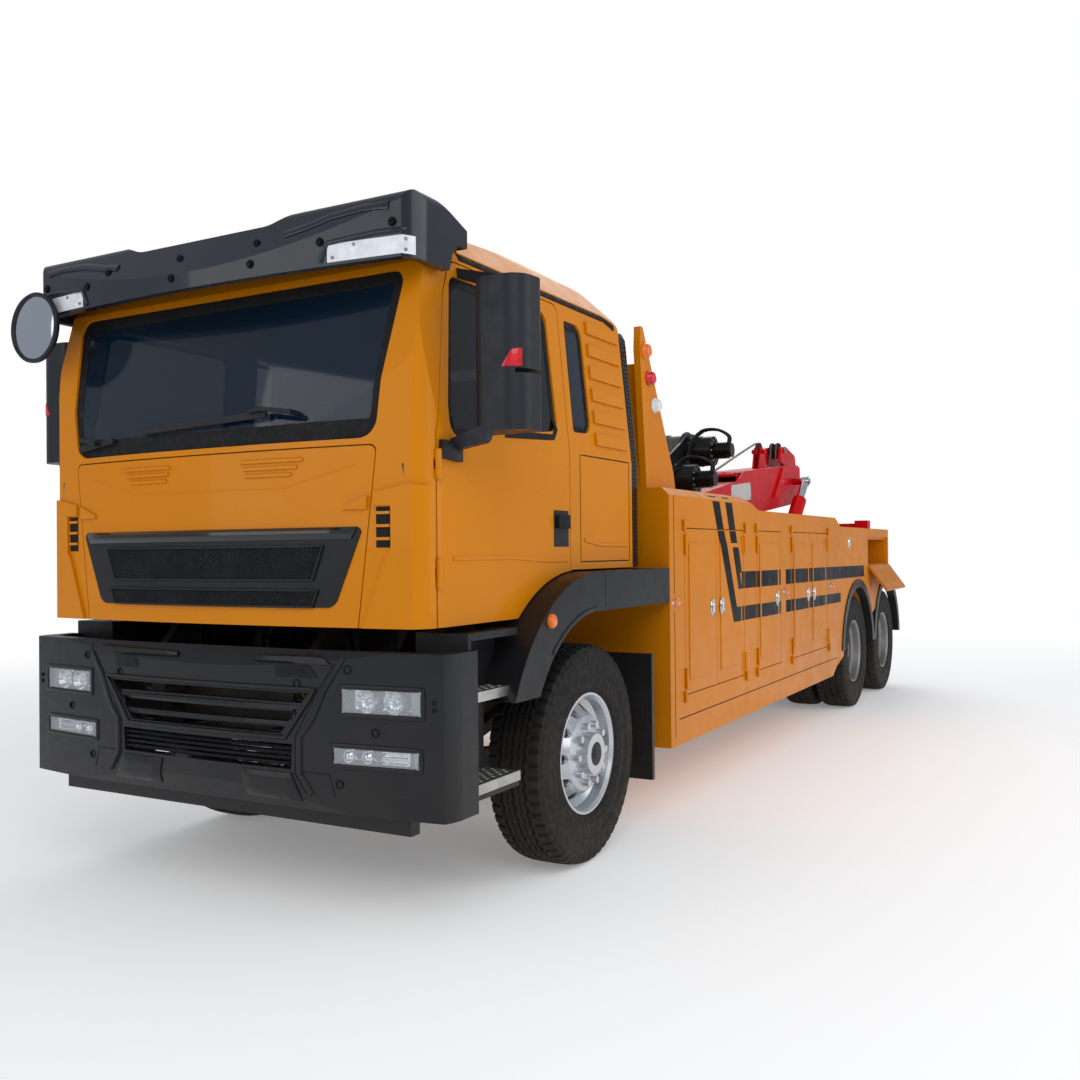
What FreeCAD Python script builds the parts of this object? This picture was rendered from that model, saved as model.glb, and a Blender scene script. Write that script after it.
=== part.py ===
import FreeCAD, Part
import math
import os
import re
import Sketcher

# A heavy recovery truck with a forward-control cab, a body of lockers, a boom and an under-lift.
# Millimetres.  +X is the truck's left side, -Y its front, +Z up.  Every piece is drawn with the
# front axle at Y = 0 and the ground at Z = 0, and is then placed by the one shift "axle_place".

doc = FreeCAD.newDocument("RecoveryTruck")
sheet = doc.addObject("Spreadsheet::Sheet", "Sizes")

# name, value
SIZES = (
    # whole truck
    ("axle_place", -3350),         # where the front axle stands in the truck's own frame
    ("wheelbase", 5800),           # front axle to first drive axle
    ("tandem_pitch", 1400),        # first to second drive axle
    ("half_width", 1250),          # half the width over the body
    ("joint_gap", 6),              # gap round a door, flap or lid
    ("seat_gap", 0.3),             # clearance where pieces of different bodies nearly meet
    # tyres and rims
    ("tyre_radius", 542),
    ("tyre_half_width", 150),
    ("tread_half_width", 122),
    ("bead_radius", 288),
    ("bead_half_width", 112),
    ("rim_flange_radius", 298),
    ("rim_half_width", 127),
    ("rim_wall", 12),
    ("hub_radius", 105),
    ("stud_circle", 335),          # diameter of the ring of wheel studs
    ("stud_radius", 17),
    ("stud_reach", 42),
    ("hand_hole_radius", 27),
    ("hand_hole_circle", 430),
    ("rear_dish", 28),             # a rear disc leaves its rim this far in from the tyre's middle
    ("drum_reach", 100),
    ("drum_brake_radius", 165),
    ("front_track_half", 1055),
    ("rear_outer_half", 1078),
    ("dual_spacing", 340),
    # chassis frame
    ("rail_half", 430),            # centre line to the web's outer face
    ("rail_low", 740),
    ("rail_high", 1040),
    ("rail_flange", 85),
    ("rail_wall", 10),
    ("frame_front", -1180),
    ("frame_rear", "=wheelbase + 2100"),
    ("subframe_high", 1240),
    ("subframe_front", 1000),
    ("crossmember_height", 180),
    ("crossmember_length", 90),
    ("tail_plate_wall", 30),
    ("tail_plate_low", 520),
    ("rear_bar_low", 600),
    ("rear_bar_high", 740),
    ("rear_bar_depth", 60),
    ("rear_bar_half", 1180),
    # engine
    ("engine_front", -560),
    ("engine_rear", 760),
    ("engine_half", 300),
    ("engine_low", 560),
    ("engine_high", 1370),
    # axles
    ("axle_beam_half", 55),
    ("axle_drop", 90),             # how far the front beam hangs below the wheel centres
    ("kingpin_place", 870),
    ("kingpin_radius", 28),
    ("kingpin_clearance", 0.05),
    ("axle_tube_radius", 80),
    ("diff_radius", 210),
    ("shaft_radius", 55),
    ("spring_place", 385),
    ("spring_width", 80),
    # body of lockers
    ("body_front", 930),
    ("body_rear", "=wheelbase + 1540"),
    ("body_inner", 560),
    ("body_low", 412),
    ("body_high", 1905),
    ("body_step_high", 1818),
    ("body_tail_high", 1741),
    ("body_wall", 45),
    ("top_chamfer", 45),
    ("deck_wall", 20),
    ("arch_radius", 620),
    ("arch_flare_radius", 698),
    ("arch_flare_reach", 12),
    ("locker_low", 685),
    ("locker_high", 1675),
    ("locker_lip", 40),
    ("leaf_wall", 34),
    ("leaf_emboss", 6),
    ("rebate", 25),                # how far the mouth's flange stands behind a leaf's edge
    ("hinge_radius", 9),
    ("station_front", "=wheelbase + 480"),
    ("station_rear", "=wheelbase + 1490"),
    ("station_low", 1350),
    ("station_high", 1655),
    ("station_depth", 420),
    ("station_lid_wall", 24),
    ("station_lid_angle", 145),    # how far the left lid hangs open, from shut
    # headboard behind the cab
    ("headboard_half", 1110),
    ("headboard_wall", 40),
    ("headboard_high", 2830),
    ("headboard_front", 860),
    ("headboard_foot", 1390),
    # winches
    ("winch_plate_left", 450),
    ("winch_plate_right", -300),
    ("winch_plate_wall", 20),
    ("upper_winch_y", 3350),
    ("upper_winch_z", 2330),
    ("lower_winch_y", 2950),
    ("lower_winch_z", 2080),
    ("drum_flange_radius", 165),
    ("drum_radius", 128),
    ("drum_flange_wall", 18),
    ("gear_radius", 118),
    ("gear_length", 200),
    ("motor_radius", 55),
    ("motor_length", 150),
    # boom
    ("boom_half", 250),
    ("boom_wall", 16),
    ("boom_rear", "=wheelbase + 1560"),
    ("boom_pivot_y", "=wheelbase - 1350"),
    ("boom_pivot_z", 1880),
    ("boom_pin_radius", 45),
    ("boom_post_wall", 40),
    ("boom_post_front", "=boom_pivot_y - 210"),
    ("boom_post_rear", "=boom_pivot_y + 250"),
    ("boom_slope", 5.5),           # degrees the stowed boom rises to the rear
    ("boom_depth", 430),
    ("extension_gap", 12),
    ("extension_front", "=boom_pivot_y + 850"),
    ("extension_rear", "=boom_rear + 440"),
    ("sheave_radius", 85),
    ("fore_sheave_y", "=boom_rear - 600"),       # both sheaves' places are with the boom level
    ("fore_sheave_z", 2400),
    ("head_sheave_y", "=boom_rear + 38"),
    ("head_sheave_z", 2393),
    ("sheave_wall", 36),
    # lift cylinders
    ("cylinder_place", 400),
    ("cylinder_foot_y", "=boom_pivot_y + 1650"),
    ("cylinder_foot_z", 1400),
    ("cylinder_eye_level_y", "=boom_pivot_y + 2700"),   # the eye's place with the boom level
    ("cylinder_eye_level_z", 2040),
    ("barrel_radius", 75),
    ("barrel_wall", 14),
    ("barrel_length", 1010),
    ("rod_radius", 42),
    ("cylinder_pin_radius", 32),
    ("lug_wall", 25),
    ("eye_half", 32),              # half the width of a cylinder's eye
    # under-lift
    ("stinger_pivot_y", "=frame_rear + 150"),
    ("stinger_pivot_z", 640),
    ("stinger_half", 95),
    ("stinger_wall", 14),
    ("stinger_high", 1480),
    ("stinger_pin_radius", 35),
    ("inner_stinger_low", 760),
    ("inner_stinger_high", 1640),
    ("inner_stinger_gap", 8),
    ("crossbar_z", 1770),
    ("crossbar_half_length", 900),
    ("crossbar_half_height", 62),
    ("crossbar_half_depth", 60),
    ("swivel_radius", 30),
    ("receiver_half", 75),
    ("receiver_bore_half", 55),
    ("receiver_length", 190),
    ("fork_pin_radius", 13),
    # cab
    ("cab_half", 1122),
    ("cab_front", -1368),
    ("cab_rear", 700),
    ("cab_low", 1242),
    ("cab_arch_low", 1452),
    ("cab_belt", 2030),
    ("cab_top", 2985),
    ("cab_wall", 60),
    ("cab_corner", 230),
    ("cab_bow_radius", 8100),
    ("cab_raise", 14),             # how far pressed ribs and corner panels stand out of the skin
    ("door_swing_room", 45),       # the visor's ends stay this far from a door's edge
    ("side_lean", 70),
    ("tunnel_half", 420),
    ("tunnel_high", 1470),
    ("screen_low", 2010),
    ("screen_high", "=cab_top - 285"),
    ("screen_low_half", 895),
    ("screen_high_half", 985),
    ("glass_wall", 8),
    ("visor_half", 1118),
    ("visor_low", "=cab_top - 285"),
    ("visor_high", "=cab_top"),
    ("visor_wall", 40),
    ("mirror_place", 1345),
    ("mirror_y", -1010),
    ("mirror_low", 2030),
    ("mirror_high", 2650),
    ("door_front", -1208),
    ("door_rear", -50),
    ("door_high", "=cab_top - 210"),
    ("side_window_low", 2060),
    ("side_window_high", "=cab_top - 275"),
    ("flap_low", 1242),
    ("flap_high", 1985),
    ("flap_wall", 26),
    ("flap_low_half", 812),
    ("flap_high_half", 905),
    ("grille_low", 1322),
    ("grille_high", 1650),
    ("grille_low_half", 700),
    ("grille_high_half", 838),
    ("grille_wall", 22),
    ("cab_pivot_y", -1250),
    ("cab_pivot_z", 960),
    ("cab_pin_radius", 25),
    ("hinge_knuckle_radius", 14),
    ("hinge_knuckle_length", 40),
    # bumper
    ("bumper_low", 492),
    ("bumper_high", 1148),
    ("bumper_depth", 60),
    ("bumper_front", -1400),
    ("bumper_half", 1235),
    ("bumper_rear", -1100),
    ("intake_low", 800),
    ("intake_high", 973),
    ("intake_low_half", 446),
    ("intake_high_half", 590),
    ("underrun_half", 1030),
    ("underrun_low", 415),
    # wings and steps
    ("wing_radius", 900),
    ("wing_wall", 30),
    ("wing_inner", 560),
    ("wing_lip", 195),
    ("wing_lip_depth", 90),
    ("wing_foot", 900),
    ("step_rear", -700),
    ("upper_step_z", 962),
    ("lower_step_z", 582),
    ("step_wall", 28),
    ("step_inner", 930),
)
for row, (alias, value) in enumerate(SIZES, start=1):
    sheet.set(f"A{row}", str(value))
    sheet.setAlias(f"A{row}", alias)
doc.recompute()

ALIASES = {alias for alias, _ in SIZES}
AXES = {
    "side": (FreeCAD.Vector(1, 0, 0), FreeCAD.Rotation(FreeCAD.Vector(1, 1, 1), 120), "x"),
    "front": (FreeCAD.Vector(0, 1, 0), FreeCAD.Rotation(FreeCAD.Vector(1, 0, 0), 90), "y"),
    "top": (FreeCAD.Vector(0, 0, 1), FreeCAD.Rotation(), "z"),
}


def named(text):
    """Write an expression with each size's name pointing at its cell."""
    return re.sub(r"[a-z]\w*", lambda word: "Sizes." + word[0] if word[0] in ALIASES else word[0], str(text))


def number(text):
    """The value of an expression now."""
    found = sheet.evalExpression(named(text))
    return float(getattr(found, "Value", found))


def bind(item, prop, text):
    item.setExpression(prop, named(text))


def put(item, x="0", y="0", z="0"):
    """Tie a piece's place to the sheet."""
    for axis, text in zip("xyz", (x, y, z)):
        bind(item, f"Placement.Base.{axis}", text)
    return item


def draw(sketch, corners):
    """Draw a closed outline.  A corner is (across, up) or (across, up, rounding radius)."""
    spots = [FreeCAD.Vector(number(c[0]), number(c[1]), 0) for c in corners]
    count = len(corners)
    leave = []
    arrive = []
    arcs = {}
    for i, corner in enumerate(corners):
        before = (spots[i - 1] - spots[i]).normalize()
        after = (spots[(i + 1) % count] - spots[i]).normalize()
        if len(corner) < 3:
            arrive.append(spots[i])
            leave.append(spots[i])
            continue
        radius = number(corner[2])
        half = before.getAngle(after) / 2
        arrive.append(spots[i] + before * (radius / math.tan(half)))
        leave.append(spots[i] + after * (radius / math.tan(half)))
        middle = (before + after).normalize()
        arcs[i] = spots[i] + middle * (radius / math.sin(half) - radius)
    for i in range(count):
        sketch.addGeometry(Part.LineSegment(leave[i], arrive[(i + 1) % count]), False)

    def hold(kind, *numbers):
        return sketch.addConstraint(Sketcher.Constraint(kind, *numbers))

    def hold_at(kind, item, point, text):
        place = hold(kind, -1, 1, item, point, number(text))
        sketch.setExpression(f"Constraints[{place}]", named(text))

    for i, corner in enumerate(corners):
        line_in = (i - 1) % count
        if i not in arcs:
            hold("Coincident", line_in, 2, i, 1)
            hold_at("DistanceX", i, 1, corner[0])
            hold_at("DistanceY", i, 1, corner[1])
            continue
        arc = sketch.addGeometry(Part.Arc(arrive[i], arcs[i], leave[i]), False)
        first, last = (1, 2) if sketch.getPoint(arc, 1).distanceToPoint(arrive[i]) < 1e-6 else (2, 1)
        mark = sketch.addGeometry(Part.Point(spots[i]), True)
        hold("Tangent", line_in, 2, arc, first)
        hold("Tangent", i, 1, arc, last)
        hold_at("DistanceX", mark, 1, corner[0])
        hold_at("DistanceY", mark, 1, corner[1])
        hold("PointOnObject", mark, 1, line_in)
        hold("PointOnObject", mark, 1, i)
        place = hold("Radius", arc, number(corner[2]))
        sketch.setExpression(f"Constraints[{place}]", named(corner[2]))


def slab(name, view, low, high, corners):
    """An outline seen from the side, front or top, given a thickness from low to high."""
    direction, turn, axis = AXES[view]
    sketch = doc.addObject("Sketcher::SketchObject", name + "_outline")
    sketch.Placement.Rotation = turn
    draw(sketch, corners)
    bind(sketch, f"Placement.Base.{axis}", low)
    solid = doc.addObject("Part::Extrusion", name)
    solid.Base = sketch
    solid.DirMode = "Custom"
    solid.Dir = direction
    solid.Solid = True
    bind(solid, "LengthFwd", f"({high}) - ({low})")
    return solid


def block(name, x_low, x_high, y_low, y_high, z_low, z_high):
    solid = doc.addObject("Part::Box", name)
    bind(solid, "Length", f"({x_high}) - ({x_low})")
    bind(solid, "Width", f"({y_high}) - ({y_low})")
    bind(solid, "Height", f"({z_high}) - ({z_low})")
    return put(solid, x_low, y_low, z_low)


def rod(name, along, start, length, radius):
    """A round bar from start = (x, y, z), along the X, Y or Z axis."""
    turns = {
        "x": FreeCAD.Rotation(FreeCAD.Vector(0, 1, 0), 90),
        "y": FreeCAD.Rotation(FreeCAD.Vector(1, 0, 0), -90),
        "z": FreeCAD.Rotation(),
    }
    solid = doc.addObject("Part::Cylinder", name)
    solid.Placement.Rotation = turns[along]
    bind(solid, "Height", length)
    bind(solid, "Radius", radius)
    return put(solid, *start)


def fuse(name, parts):
    solid = doc.addObject("Part::MultiFuse", name)
    solid.Shapes = parts
    return solid


def common(name, parts):
    solid = doc.addObject("Part::MultiCommon", name)
    solid.Shapes = parts
    return solid


def cut(name, base, tools):
    """Take the tools away from the base."""
    solid = doc.addObject("Part::Cut", name)
    solid.Base = base
    solid.Tool = tools[0] if len(tools) == 1 else fuse(name + "_tools", tools)
    return solid


def group(name, parts):
    """Separate solids kept together as one sub-part."""
    solid = doc.addObject("Part::Compound", name)
    solid.Links = parts
    return solid


def mirror(name, source):
    """The same piece for the other side of the truck."""
    solid = doc.addObject("Part::Mirroring", name)
    solid.Source = source
    solid.Normal = FreeCAD.Vector(1, 0, 0)
    return solid


def both_sides(name, source):
    return [source, mirror(name + "_right", source)]


def loft(name, sections):
    """Straight sides between level outlines, each given as (height, corners)."""
    sketches = []
    for i, (height, corners) in enumerate(sections):
        sketch = doc.addObject("Sketcher::SketchObject", f"{name}_outline_{i}")
        draw(sketch, corners)
        bind(sketch, "Placement.Base.z", height)
        sketches.append(sketch)
    solid = doc.addObject("Part::Loft", name)
    solid.Sections = sketches
    solid.Solid = True
    solid.Ruled = True
    return solid


def tilt(name, part, angle, y, z):
    """Turn a piece about a line across the truck, through (y, z)."""
    moved = group(name, [part])
    moved.Placement.Rotation = FreeCAD.Rotation(FreeCAD.Vector(1, 0, 0), number(angle))
    bind(moved, "Placement.Rotation.Angle", angle)
    bind(moved, "Placement.Base.y",
         f"({y}) - ({y}) * cos(({angle}) * 1 deg) + ({z}) * sin(({angle}) * 1 deg)")
    bind(moved, "Placement.Base.z",
         f"({z}) - ({y}) * sin(({angle}) * 1 deg) - ({z}) * cos(({angle}) * 1 deg)")
    return moved


KEPT = []


def keep(label, *parts):
    """Make one or more solids a sub-part of the truck, at its place."""
    piece = group(label, list(parts))
    bind(piece, "Placement.Base.y", "axle_place")
    KEPT.append(piece)
    return piece


def keep_mirror(label, source):
    piece = mirror(label, source)
    KEPT.append(piece)
    return piece


# --- Wheels -----------------------------------------------------------------------------------
# A tyre and a rim are turned about the X axis at the truck's origin, outer side towards +X, and
# each is then placed on its axle.  On the right side it is turned half round.

TYRE_SECTION = (
    # along the axle, radius, rounding
    ("-bead_half_width", "bead_radius"),
    ("-bead_half_width - 8", "bead_radius + 40"),
    ("-tyre_half_width", "bead_radius + 130", "60"),
    ("-tread_half_width - 12", "tyre_radius - 22", "14"),
    ("-tread_half_width", "tyre_radius - 5"),
    ("0", "tyre_radius"),
    ("tread_half_width", "tyre_radius - 5"),
    ("tread_half_width + 12", "tyre_radius - 22", "14"),
    ("tyre_half_width", "bead_radius + 130", "60"),
    ("bead_half_width + 8", "bead_radius + 40"),
    ("bead_half_width", "bead_radius"),
)
RIM_SECTION = (
    # along the axle, radius
    ("-rim_half_width", "rim_flange_radius"),
    ("-bead_half_width - 2 - seat_gap", "rim_flange_radius"),
    ("-bead_half_width - 2 - seat_gap", "bead_radius - 1"),
    ("-60", "bead_radius - 8"),
    ("-40", "250"),
    ("40", "250"),
    ("60", "bead_radius - 8"),
    ("bead_half_width + 2 + seat_gap", "bead_radius - 1"),
    ("bead_half_width + 2 + seat_gap", "rim_flange_radius"),
    ("rim_half_width", "rim_flange_radius"),
    ("rim_half_width", "rim_flange_radius - rim_wall"),
    ("bead_half_width", "bead_radius - 1 - rim_wall"),
    ("64", "bead_radius - 8 - rim_wall"),
    ("44", "250 - rim_wall"),
    ("-44", "250 - rim_wall"),
    ("-64", "bead_radius - 8 - rim_wall"),
    ("-bead_half_width", "bead_radius - 1 - rim_wall"),
    ("-rim_half_width", "rim_flange_radius - rim_wall"),
)
FRONT_DISC = (
    # along the axle, radius: a disc that bulges outwards, its hub, and the brake drum inside
    ("30", "250 - rim_wall"),
    ("44", "250 - rim_wall"),
    ("118", "185"),
    ("128", "140"),
    ("128", "hub_radius"),
    ("172", "hub_radius - 6"),
    ("172", "0"),
    ("-drum_reach", "0"),
    ("-drum_reach", "drum_brake_radius"),
    ("30", "drum_brake_radius"),
    ("30", "hub_radius + 20"),
    ("114", "hub_radius + 20"),
    ("104", "180"),
)
REAR_DISC = (
    # along the axle from the outer tyre's middle: both discs back to back, hub and brake drum
    ("-rear_dish", "250 - rim_wall"),
    ("-dual_spacing / 2 + 16", "178"),
    ("-dual_spacing / 2 + 16", "hub_radius"),
    ("-10", "hub_radius"),
    ("60", "hub_radius - 20"),
    ("60", "0"),
    ("-dual_spacing - 20", "0"),
    ("-dual_spacing - 20", "drum_brake_radius"),
    ("-dual_spacing / 2 - 16", "drum_brake_radius"),
    ("-dual_spacing / 2 - 16", "178"),
    ("-dual_spacing + rear_dish", "250 - rim_wall"),
    ("-dual_spacing + rear_dish + 14", "250 - rim_wall"),
    ("-dual_spacing / 2", "188"),
    ("-rear_dish - 14", "250 - rim_wall"),
)


def turned(body, name, section):
    """Revolve a section about the wheel's axle."""
    sketch = body.newObject("Sketcher::SketchObject", name + "_section")
    plane = next(item for item in body.Origin.OriginFeatures if item.Role == "XY_Plane")
    sketch.AttachmentSupport = (plane, [""])
    sketch.MapMode = "FlatFace"
    draw(sketch, section)
    solid = body.newObject("PartDesign::Revolution", name)
    solid.Profile = sketch
    solid.ReferenceAxis = (sketch, ["H_Axis"])
    solid.Angle = 360
    return solid


def ring_of(body, name, height, radius, pitch, count, kind, start):
    """Studs or holes on a circle round the axle."""
    sketch = body.newObject("Sketcher::SketchObject", name + "_circle")
    plane = next(item for item in body.Origin.OriginFeatures if item.Role == "YZ_Plane")
    sketch.AttachmentSupport = (plane, [""])
    sketch.MapMode = "FlatFace"
    bind(sketch, "AttachmentOffset.Base.z", start)
    sketch.addGeometry(
        Part.Circle(FreeCAD.Vector(number(pitch) / 2, 0, 0), FreeCAD.Vector(0, 0, 1), number(radius))
    )
    for prop, text in (("Radius", radius), ("DistanceX", f"({pitch}) / 2")):
        numbers = (0, number(text)) if prop == "Radius" else (-1, 1, 0, 3, number(text))
        place = sketch.addConstraint(Sketcher.Constraint(prop, *numbers))
        sketch.setExpression(f"Constraints[{place}]", named(text))
    sketch.addConstraint(Sketcher.Constraint("PointOnObject", 0, 3, -1))
    first = body.newObject(kind, name + "_one")
    first.Profile = sketch
    bind(first, "Length", height)
    if kind == "PartDesign::Pocket":
        first.Midplane = True
    pattern = body.newObject("PartDesign::PolarPattern", name)
    pattern.Originals = [first]
    pattern.Axis = (next(item for item in body.Origin.OriginFeatures if item.Role == "X_Axis"), [""])
    pattern.Angle = 360
    pattern.Occurrences = count
    body.Tip = pattern
    return pattern


def wheel_at(solid, side, out, along):
    """Place a turned piece: side is 1 on the left and -1 on the right."""
    if side < 0:
        solid.Placement.Rotation = FreeCAD.Rotation(FreeCAD.Vector(0, 0, 1), 180)
    return put(solid, f"{side} * ({out})", f"axle_place + {along}", "tyre_radius")


def tyre(label):
    body = doc.addObject("PartDesign::Body", label)
    turned(body, label + "_carcass", TYRE_SECTION)
    return body


def front_rim(label):
    body = doc.addObject("PartDesign::Body", label)
    turned(body, label + "_ring", RIM_SECTION)
    turned(body, label + "_disc", FRONT_DISC)
    ring_of(body, label + "_holes", "300", "hand_hole_radius", "hand_hole_circle", 10, "PartDesign::Pocket",
            "80")
    ring_of(body, label + "_studs", "stud_reach", "stud_radius", "stud_circle - 46", 10, "PartDesign::Pad",
            "114")
    return body


def rear_rims(label):
    body = doc.addObject("PartDesign::Body", label)
    turned(body, label + "_ring", RIM_SECTION)
    turned(body, label + "_inner_ring", [(f"{c[0]} - dual_spacing", c[1]) for c in RIM_SECTION])
    turned(body, label + "_disc", REAR_DISC)
    ring_of(body, label + "_studs", "stud_reach", "stud_radius", "stud_circle - 46", 10, "PartDesign::Pad",
            "-dual_spacing / 2 + 15")
    return body


for side, name in ((1, "left"), (-1, "right")):
    wheel = wheel_at(tyre(f"tyre_front_{name}"), side, "front_track_half", "0")
    disc = wheel_at(front_rim(f"rim_front_{name}"), side, "front_track_half", "0")
    KEPT.extend((wheel, disc))
    for axle, along in ((1, "wheelbase"), (2, "wheelbase + tandem_pitch")):
        outer = tyre(f"tyre_outer_{axle}_{name}")
        inner = put(tyre(f"tyre_inner_{axle}_{name}"), "-dual_spacing")
        pair = wheel_at(group(f"tyres_rear_{axle}_{name}", [outer, inner]), side, "rear_outer_half", along)
        discs = wheel_at(rear_rims(f"rims_rear_{axle}_{name}"), side, "rear_outer_half", along)
        KEPT.extend((pair, discs))

# --- Chassis ----------------------------------------------------------------------------------
# Two channel rails with crossmembers.  The recovery gear's subframe lies on them and ends in the
# tail plate, which carries the under-lift's lugs and the rear bar.

REAR_AXLES = ("wheelbase", "wheelbase + tandem_pitch")

rail = slab("rail", "front", "frame_front", "frame_rear", (
    ("rail_half", "rail_low"),
    ("rail_half", "rail_high"),
    ("rail_half - rail_flange", "rail_high"),
    ("rail_half - rail_flange", "rail_high - rail_wall"),
    ("rail_half - rail_wall", "rail_high - rail_wall"),
    ("rail_half - rail_wall", "rail_low + rail_wall"),
    ("rail_half - rail_flange", "rail_low + rail_wall"),
    ("rail_half - rail_flange", "rail_low"),
))
CROSSMEMBERS = ("frame_front + 60", "engine_rear + 200", "3000", "4700", "wheelbase + tandem_pitch / 2",
                "frame_rear - 300")
crossmembers = [
    block(f"crossmember_{i}", "-rail_half + rail_wall", "rail_half - rail_wall", y,
          f"{y} + crossmember_length",
          "rail_low + 30", "rail_low + 30 + crossmember_height")
    for i, y in enumerate(CROSSMEMBERS)
]
cab_bracket = fuse("cab_bracket", [
    block("cab_bracket_plate", "rail_half - rail_flange", "rail_half", "cab_pivot_y - 40",
          "frame_front + 10", "cab_pivot_z - 50",
          "cab_pivot_z + 50"),
    rod("cab_pin", "x", ("rail_half - 5", "cab_pivot_y", "cab_pivot_z"), "70", "cab_pin_radius"),
])
rest_post = block("rest_post", "rail_half - 60", "rail_half + 70", "560", "660", "rail_high",
                  "cab_arch_low - seat_gap")
keep("chassis_rails", fuse("ladder", both_sides("rail_pair", rail) + both_sides("cab_brackets", cab_bracket)
                           + both_sides("rest_posts", rest_post) + crossmembers))

subframe = block("subframe_rail", "rail_half - rail_flange", "rail_half", "subframe_front", "frame_rear",
                 "rail_high", "subframe_high")
tail_plate = block("tail_plate", "-rail_half", "rail_half", "frame_rear + seat_gap",
                   "frame_rear + tail_plate_wall",
                   "tail_plate_low", "subframe_high")
stinger_lug = slab("stinger_lug", "side", "stinger_half + joint_gap", "stinger_half + joint_gap + lug_wall", (
    ("frame_rear + tail_plate_wall", "tail_plate_low"),
    ("stinger_pivot_y + 40", "tail_plate_low"),
    ("stinger_pivot_y + 95", "stinger_pivot_z", "40"),
    ("stinger_pivot_y + 40", "stinger_pivot_z + 140"),
    ("frame_rear + tail_plate_wall", "stinger_pivot_z + 240"),
))
stinger_pin = rod("stinger_pin", "x",
                  ("-stinger_half - joint_gap - lug_wall - 12", "stinger_pivot_y", "stinger_pivot_z"),
                  "2 * (stinger_half + joint_gap + lug_wall + 12)", "stinger_pin_radius")
boom_post = slab("boom_post", "side", "boom_half + joint_gap", "boom_half + joint_gap + boom_post_wall", (
    ("boom_post_front - 160", "subframe_high"),
    ("boom_post_rear + 160", "subframe_high"),
    ("boom_post_rear - 60", "boom_pivot_z + 40"),
    ("boom_pivot_y + 60", "boom_pivot_z + 130", "50"),
    ("boom_pivot_y - 60", "boom_pivot_z + 130", "50"),
    ("boom_post_front", "boom_pivot_z + 40"),
))
boom_pin = rod("boom_pin", "x",
               ("-boom_half - joint_gap - boom_post_wall - 15", "boom_pivot_y", "boom_pivot_z"),
               "2 * (boom_half + joint_gap + boom_post_wall + 15)", "boom_pin_radius")
post_bed = block("post_bed", "-rail_half", "rail_half", "boom_post_front - 200", "boom_post_rear + 200",
                 "subframe_high - 40", "subframe_high + 12")
cylinder_lug = slab("cylinder_lug", "side", "cylinder_place + eye_half + joint_gap",
                    "cylinder_place + eye_half + joint_gap + lug_wall", (
    ("cylinder_foot_y - 130", "subframe_high - 40"),
    ("cylinder_foot_y + 130", "subframe_high - 40"),
    ("cylinder_foot_y + 60", "cylinder_foot_z + 55", "45"),
    ("cylinder_foot_y - 60", "cylinder_foot_z + 55", "45"),
))
cylinder_inner_lug = group("cylinder_inner_lug", [cylinder_lug])
bind(cylinder_inner_lug, "Placement.Base.x", "-2 * (eye_half + joint_gap) - lug_wall")
cylinder_bed = block("cylinder_bed", "cylinder_place - eye_half - 50", "cylinder_place + eye_half + 50",
                     "cylinder_foot_y - 140",
                     "cylinder_foot_y + 140", "subframe_high - 40", "subframe_high + 10")
cylinder_pin = rod("cylinder_foot_pin", "x",
                   ("cylinder_place - eye_half - 40", "cylinder_foot_y", "cylinder_foot_z"),
                   "2 * eye_half + 80", "cylinder_pin_radius")
cylinder_foot = fuse("cylinder_foot", [cylinder_lug, cylinder_inner_lug, cylinder_bed, cylinder_pin])
rear_bar = block("rear_bar", "-rear_bar_half", "rear_bar_half", "frame_rear - rear_bar_depth",
                 "frame_rear + 2 * seat_gap",
                 "rear_bar_low", "rear_bar_high - seat_gap")
tail = fuse("tail_weldment", [tail_plate, stinger_pin, rear_bar] + both_sides("stinger_lugs", stinger_lug))
keep("subframe", fuse("subframe_weldment",
                      both_sides("subframe_pair", subframe) + both_sides("boom_posts", boom_post)
                      + both_sides("cylinder_feet", cylinder_foot) + [boom_pin, post_bed]), tail)

engine_block = block("engine_casting", "-engine_half", "engine_half", "engine_front", "engine_rear",
                     "engine_low", "engine_high")
engine_foot = block("engine_foot", "engine_half - 5", "rail_half - rail_wall - seat_gap", "20", "140",
                    "rail_low + 120", "rail_low + 170")
keep("engine", fuse("engine_on_feet", [engine_block] + both_sides("engine_feet", engine_foot)))

# Front axle: a forged beam below the frame with leaf springs; drive axles: tubes, differentials
# and the shafts between them.
front_beam = slab("front_beam", "front", "-axle_beam_half", "axle_beam_half", (
    ("-kingpin_place", "tyre_radius - 85"),
    ("-kingpin_place + 70", "tyre_radius - 85"),
    ("-spring_place - 90", "tyre_radius - axle_drop - 70"),
    ("spring_place + 90", "tyre_radius - axle_drop - 70"),
    ("kingpin_place - 70", "tyre_radius - 85"),
    ("kingpin_place", "tyre_radius - 85"),
    ("kingpin_place", "tyre_radius + 85"),
    ("kingpin_place - 55", "tyre_radius + 85"),
    ("kingpin_place - 90", "tyre_radius + 10"),
    ("spring_place + 70", "tyre_radius - axle_drop + 50"),
    ("-spring_place - 70", "tyre_radius - axle_drop + 50"),
    ("-kingpin_place + 90", "tyre_radius + 10"),
    ("-kingpin_place + 55", "tyre_radius + 85"),
    ("-kingpin_place", "tyre_radius + 85"),
))
beam_boss = rod("beam_boss", "z", ("kingpin_place", "0", "tyre_radius - 85"), "170", "axle_beam_half")
kingpin_bore = rod("kingpin_bore", "z", ("kingpin_place", "0", "tyre_radius - 120"), "240",
                   "kingpin_radius + kingpin_clearance")
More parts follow.
